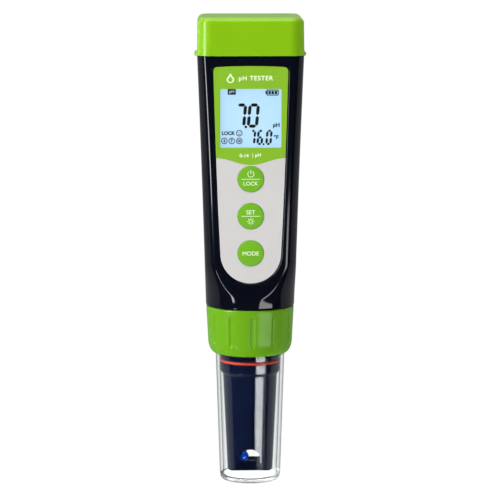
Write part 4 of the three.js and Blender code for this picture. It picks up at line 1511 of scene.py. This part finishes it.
def white_floor():
    material, tree = new_material("white_sweep")
    place_at = add_node(tree, "TexCoord").outputs["Object"]
    fibre = add_node(tree, "TexNoise", {"Vector": place_at, "Scale": 1 / (2 * MM), "Detail": 2.0})
    tone = add_node(
        tree,
        "Mix",
        {0: fibre.outputs[0], "A": linear("#F5F5F5"), "B": linear("#F2F2F2")},
        data_type="RGBA",
    )
    path = add_node(tree, "LightPath")
    glow = add_node(tree, "MapRange", {0: path.outputs["Is Diffuse Ray"], 3: 0.95, 4: FLOOR_BOUNCE})
    paper = add_node(
        tree,
        "BsdfPrincipled",
        {
            "Base Color": tone.outputs["Result"],
            "Roughness": 0.9,
            "Specular IOR Level": 0.0,
            "Emission Color": linear("#FFFFFF"),
            "Emission Strength": glow.outputs[0],
        },
    )
    passing = {0: path.outputs["Glossy Depth"], 1: path.outputs["Is Camera Ray"]}
    unseen = add_node(tree, "Math", passing, operation="MAXIMUM")
    shown = add_node(tree, "Math", {0: unseen.outputs[0], 1: 0.5}, operation="LESS_THAN")
    nothing = add_node(tree, "BsdfTransparent")
    layers = {0: shown.outputs[0], 1: nothing.outputs[0], 2: paper.outputs[0]}
    close_material(tree, add_node(tree, "MixShader", layers))
    return material


floor = mesh_object(
    "white_sweep_floor",
    at_height(disc((0, 0), FLOOR_RADIUS, 64), 0),
    [tuple(range(64))],
)
floor.data.materials.append(white_floor())

# %% Surroundings


def make_surroundings():
    """White seen directly and behind the probe, dim in reflections, dark in front."""
    world = bpy.data.worlds.new("studio")
    bpy.context.scene.world = world
    world.use_nodes = True
    tree = world.node_tree
    tree.nodes.clear()
    heading = add_node(tree, "SeparateXYZ", {0: add_node(tree, "TexCoord").outputs["Generated"]})
    behind = add_node(tree, "MapRange", {0: heading.outputs["Y"], 1: -0.06, 2: 0.02, 3: 0.0, 4: 1.0})
    path = add_node(tree, "LightPath")
    straight = add_node(tree, "Math", {0: path.outputs["Glossy Depth"], 1: 0.5}, operation="LESS_THAN")
    clear = {0: path.outputs["Is Transmission Ray"], 1: straight.outputs[0]}
    through = add_node(tree, "Math", clear, operation="MULTIPLY")
    wall = add_node(tree, "MapRange", {0: through.outputs[0], 3: WALL_IN_REFLECTIONS, 4: 1.0})
    lit = add_node(tree, "Math", {0: behind.outputs[0], 1: wall.outputs[0]}, operation="MULTIPLY")
    white = {0: lit.outputs[0], 1: path.outputs["Is Camera Ray"]}
    seen = add_node(tree, "Math", white, operation="MAXIMUM")
    strength = add_node(tree, "Math", {0: seen.outputs[0], 1: 0.012}, operation="ADD")
    background = add_node(
        tree, "Background", {"Color": linear("#FFFFFF"), "Strength": strength.outputs[0]}
    )
    add_node(tree, "OutputWorld", {"Surface": background.outputs[0]})


make_surroundings()

# %% Lights
TARGET = Vector((0, 0, 0.4983 * height * MM))


def softbox(name, azimuth, elevation, distance, width, tall, radiance, middle=None):
    """An area light that faces the probe. Azimuth 0 is in front, positive to the right."""
    a, e = math.radians(azimuth), math.radians(elevation)
    toward = Vector((math.sin(a) * math.cos(e), -math.cos(a) * math.cos(e), math.sin(e)))
    data = bpy.data.lights.new(name, "AREA")
    data.shape = "RECTANGLE"
    data.size, data.size_y = width, tall
    data.energy = radiance * math.pi * width * tall
    light = bpy.data.objects.new(name, data)
    light.location = TARGET + toward * distance
    if middle is not None:
        light.location.z = middle
    light.rotation_euler = (-toward).to_track_quat("-Z", "Y").to_euler()
    light.visible_camera = False
    bpy.context.collection.objects.link(light)
    return light


UPRIGHT = [
    # name, azimuth, low and high edge in metres, width, radiance
    ("low_right_softbox", 40.5, -0.29, -0.078, 0.60, 6.2),
    ("low_left_edge_light", -42.0, -0.46, -0.31, 0.10, 12.0),
    ("left_strip", -58.5, -0.075, 0.75, 0.26, 13.5),
    ("upper_left_back_light", -122.0, 0.10, 0.75, 0.5, 1.1),
]
for name, azimuth, low, high, width, radiance in UPRIGHT:
    softbox(name, azimuth, 0, 0.9, width, high - low, radiance, middle=(low + high) / 2)
softbox("overhead_box", -12, 77, 0.9, 1.2, 0.9, 3.6)
softbox("back_box", 180, 34, 0.9, 1.0, 0.16, 1.5)

# %% [markdown]
# ## The camera
# A long lens a metre away keeps the probe's sides nearly parallel. It looks slightly down.

# %% Camera
CAMERA_DISTANCE = 1.005
camera_data = bpy.data.cameras.new("camera")
camera_data.lens = 189.6
camera_data.clip_start = 0.05
camera_data.clip_end = 50
camera = bpy.data.objects.new("camera", camera_data)
azimuth, elevation = math.radians(-1.0), math.radians(7.6)
direction = Vector((
    math.sin(azimuth) * math.cos(elevation), -math.cos(azimuth) * math.cos(elevation), math.sin(elevation)
))
camera.location = TARGET + direction * CAMERA_DISTANCE
camera.rotation_euler = (-direction).to_track_quat("-Z", "Y").to_euler()
bpy.context.collection.objects.link(camera)
bpy.context.scene.camera = camera

scene = bpy.context.scene
scene.view_settings.view_transform = "Standard"
scene.view_settings.look = "None"
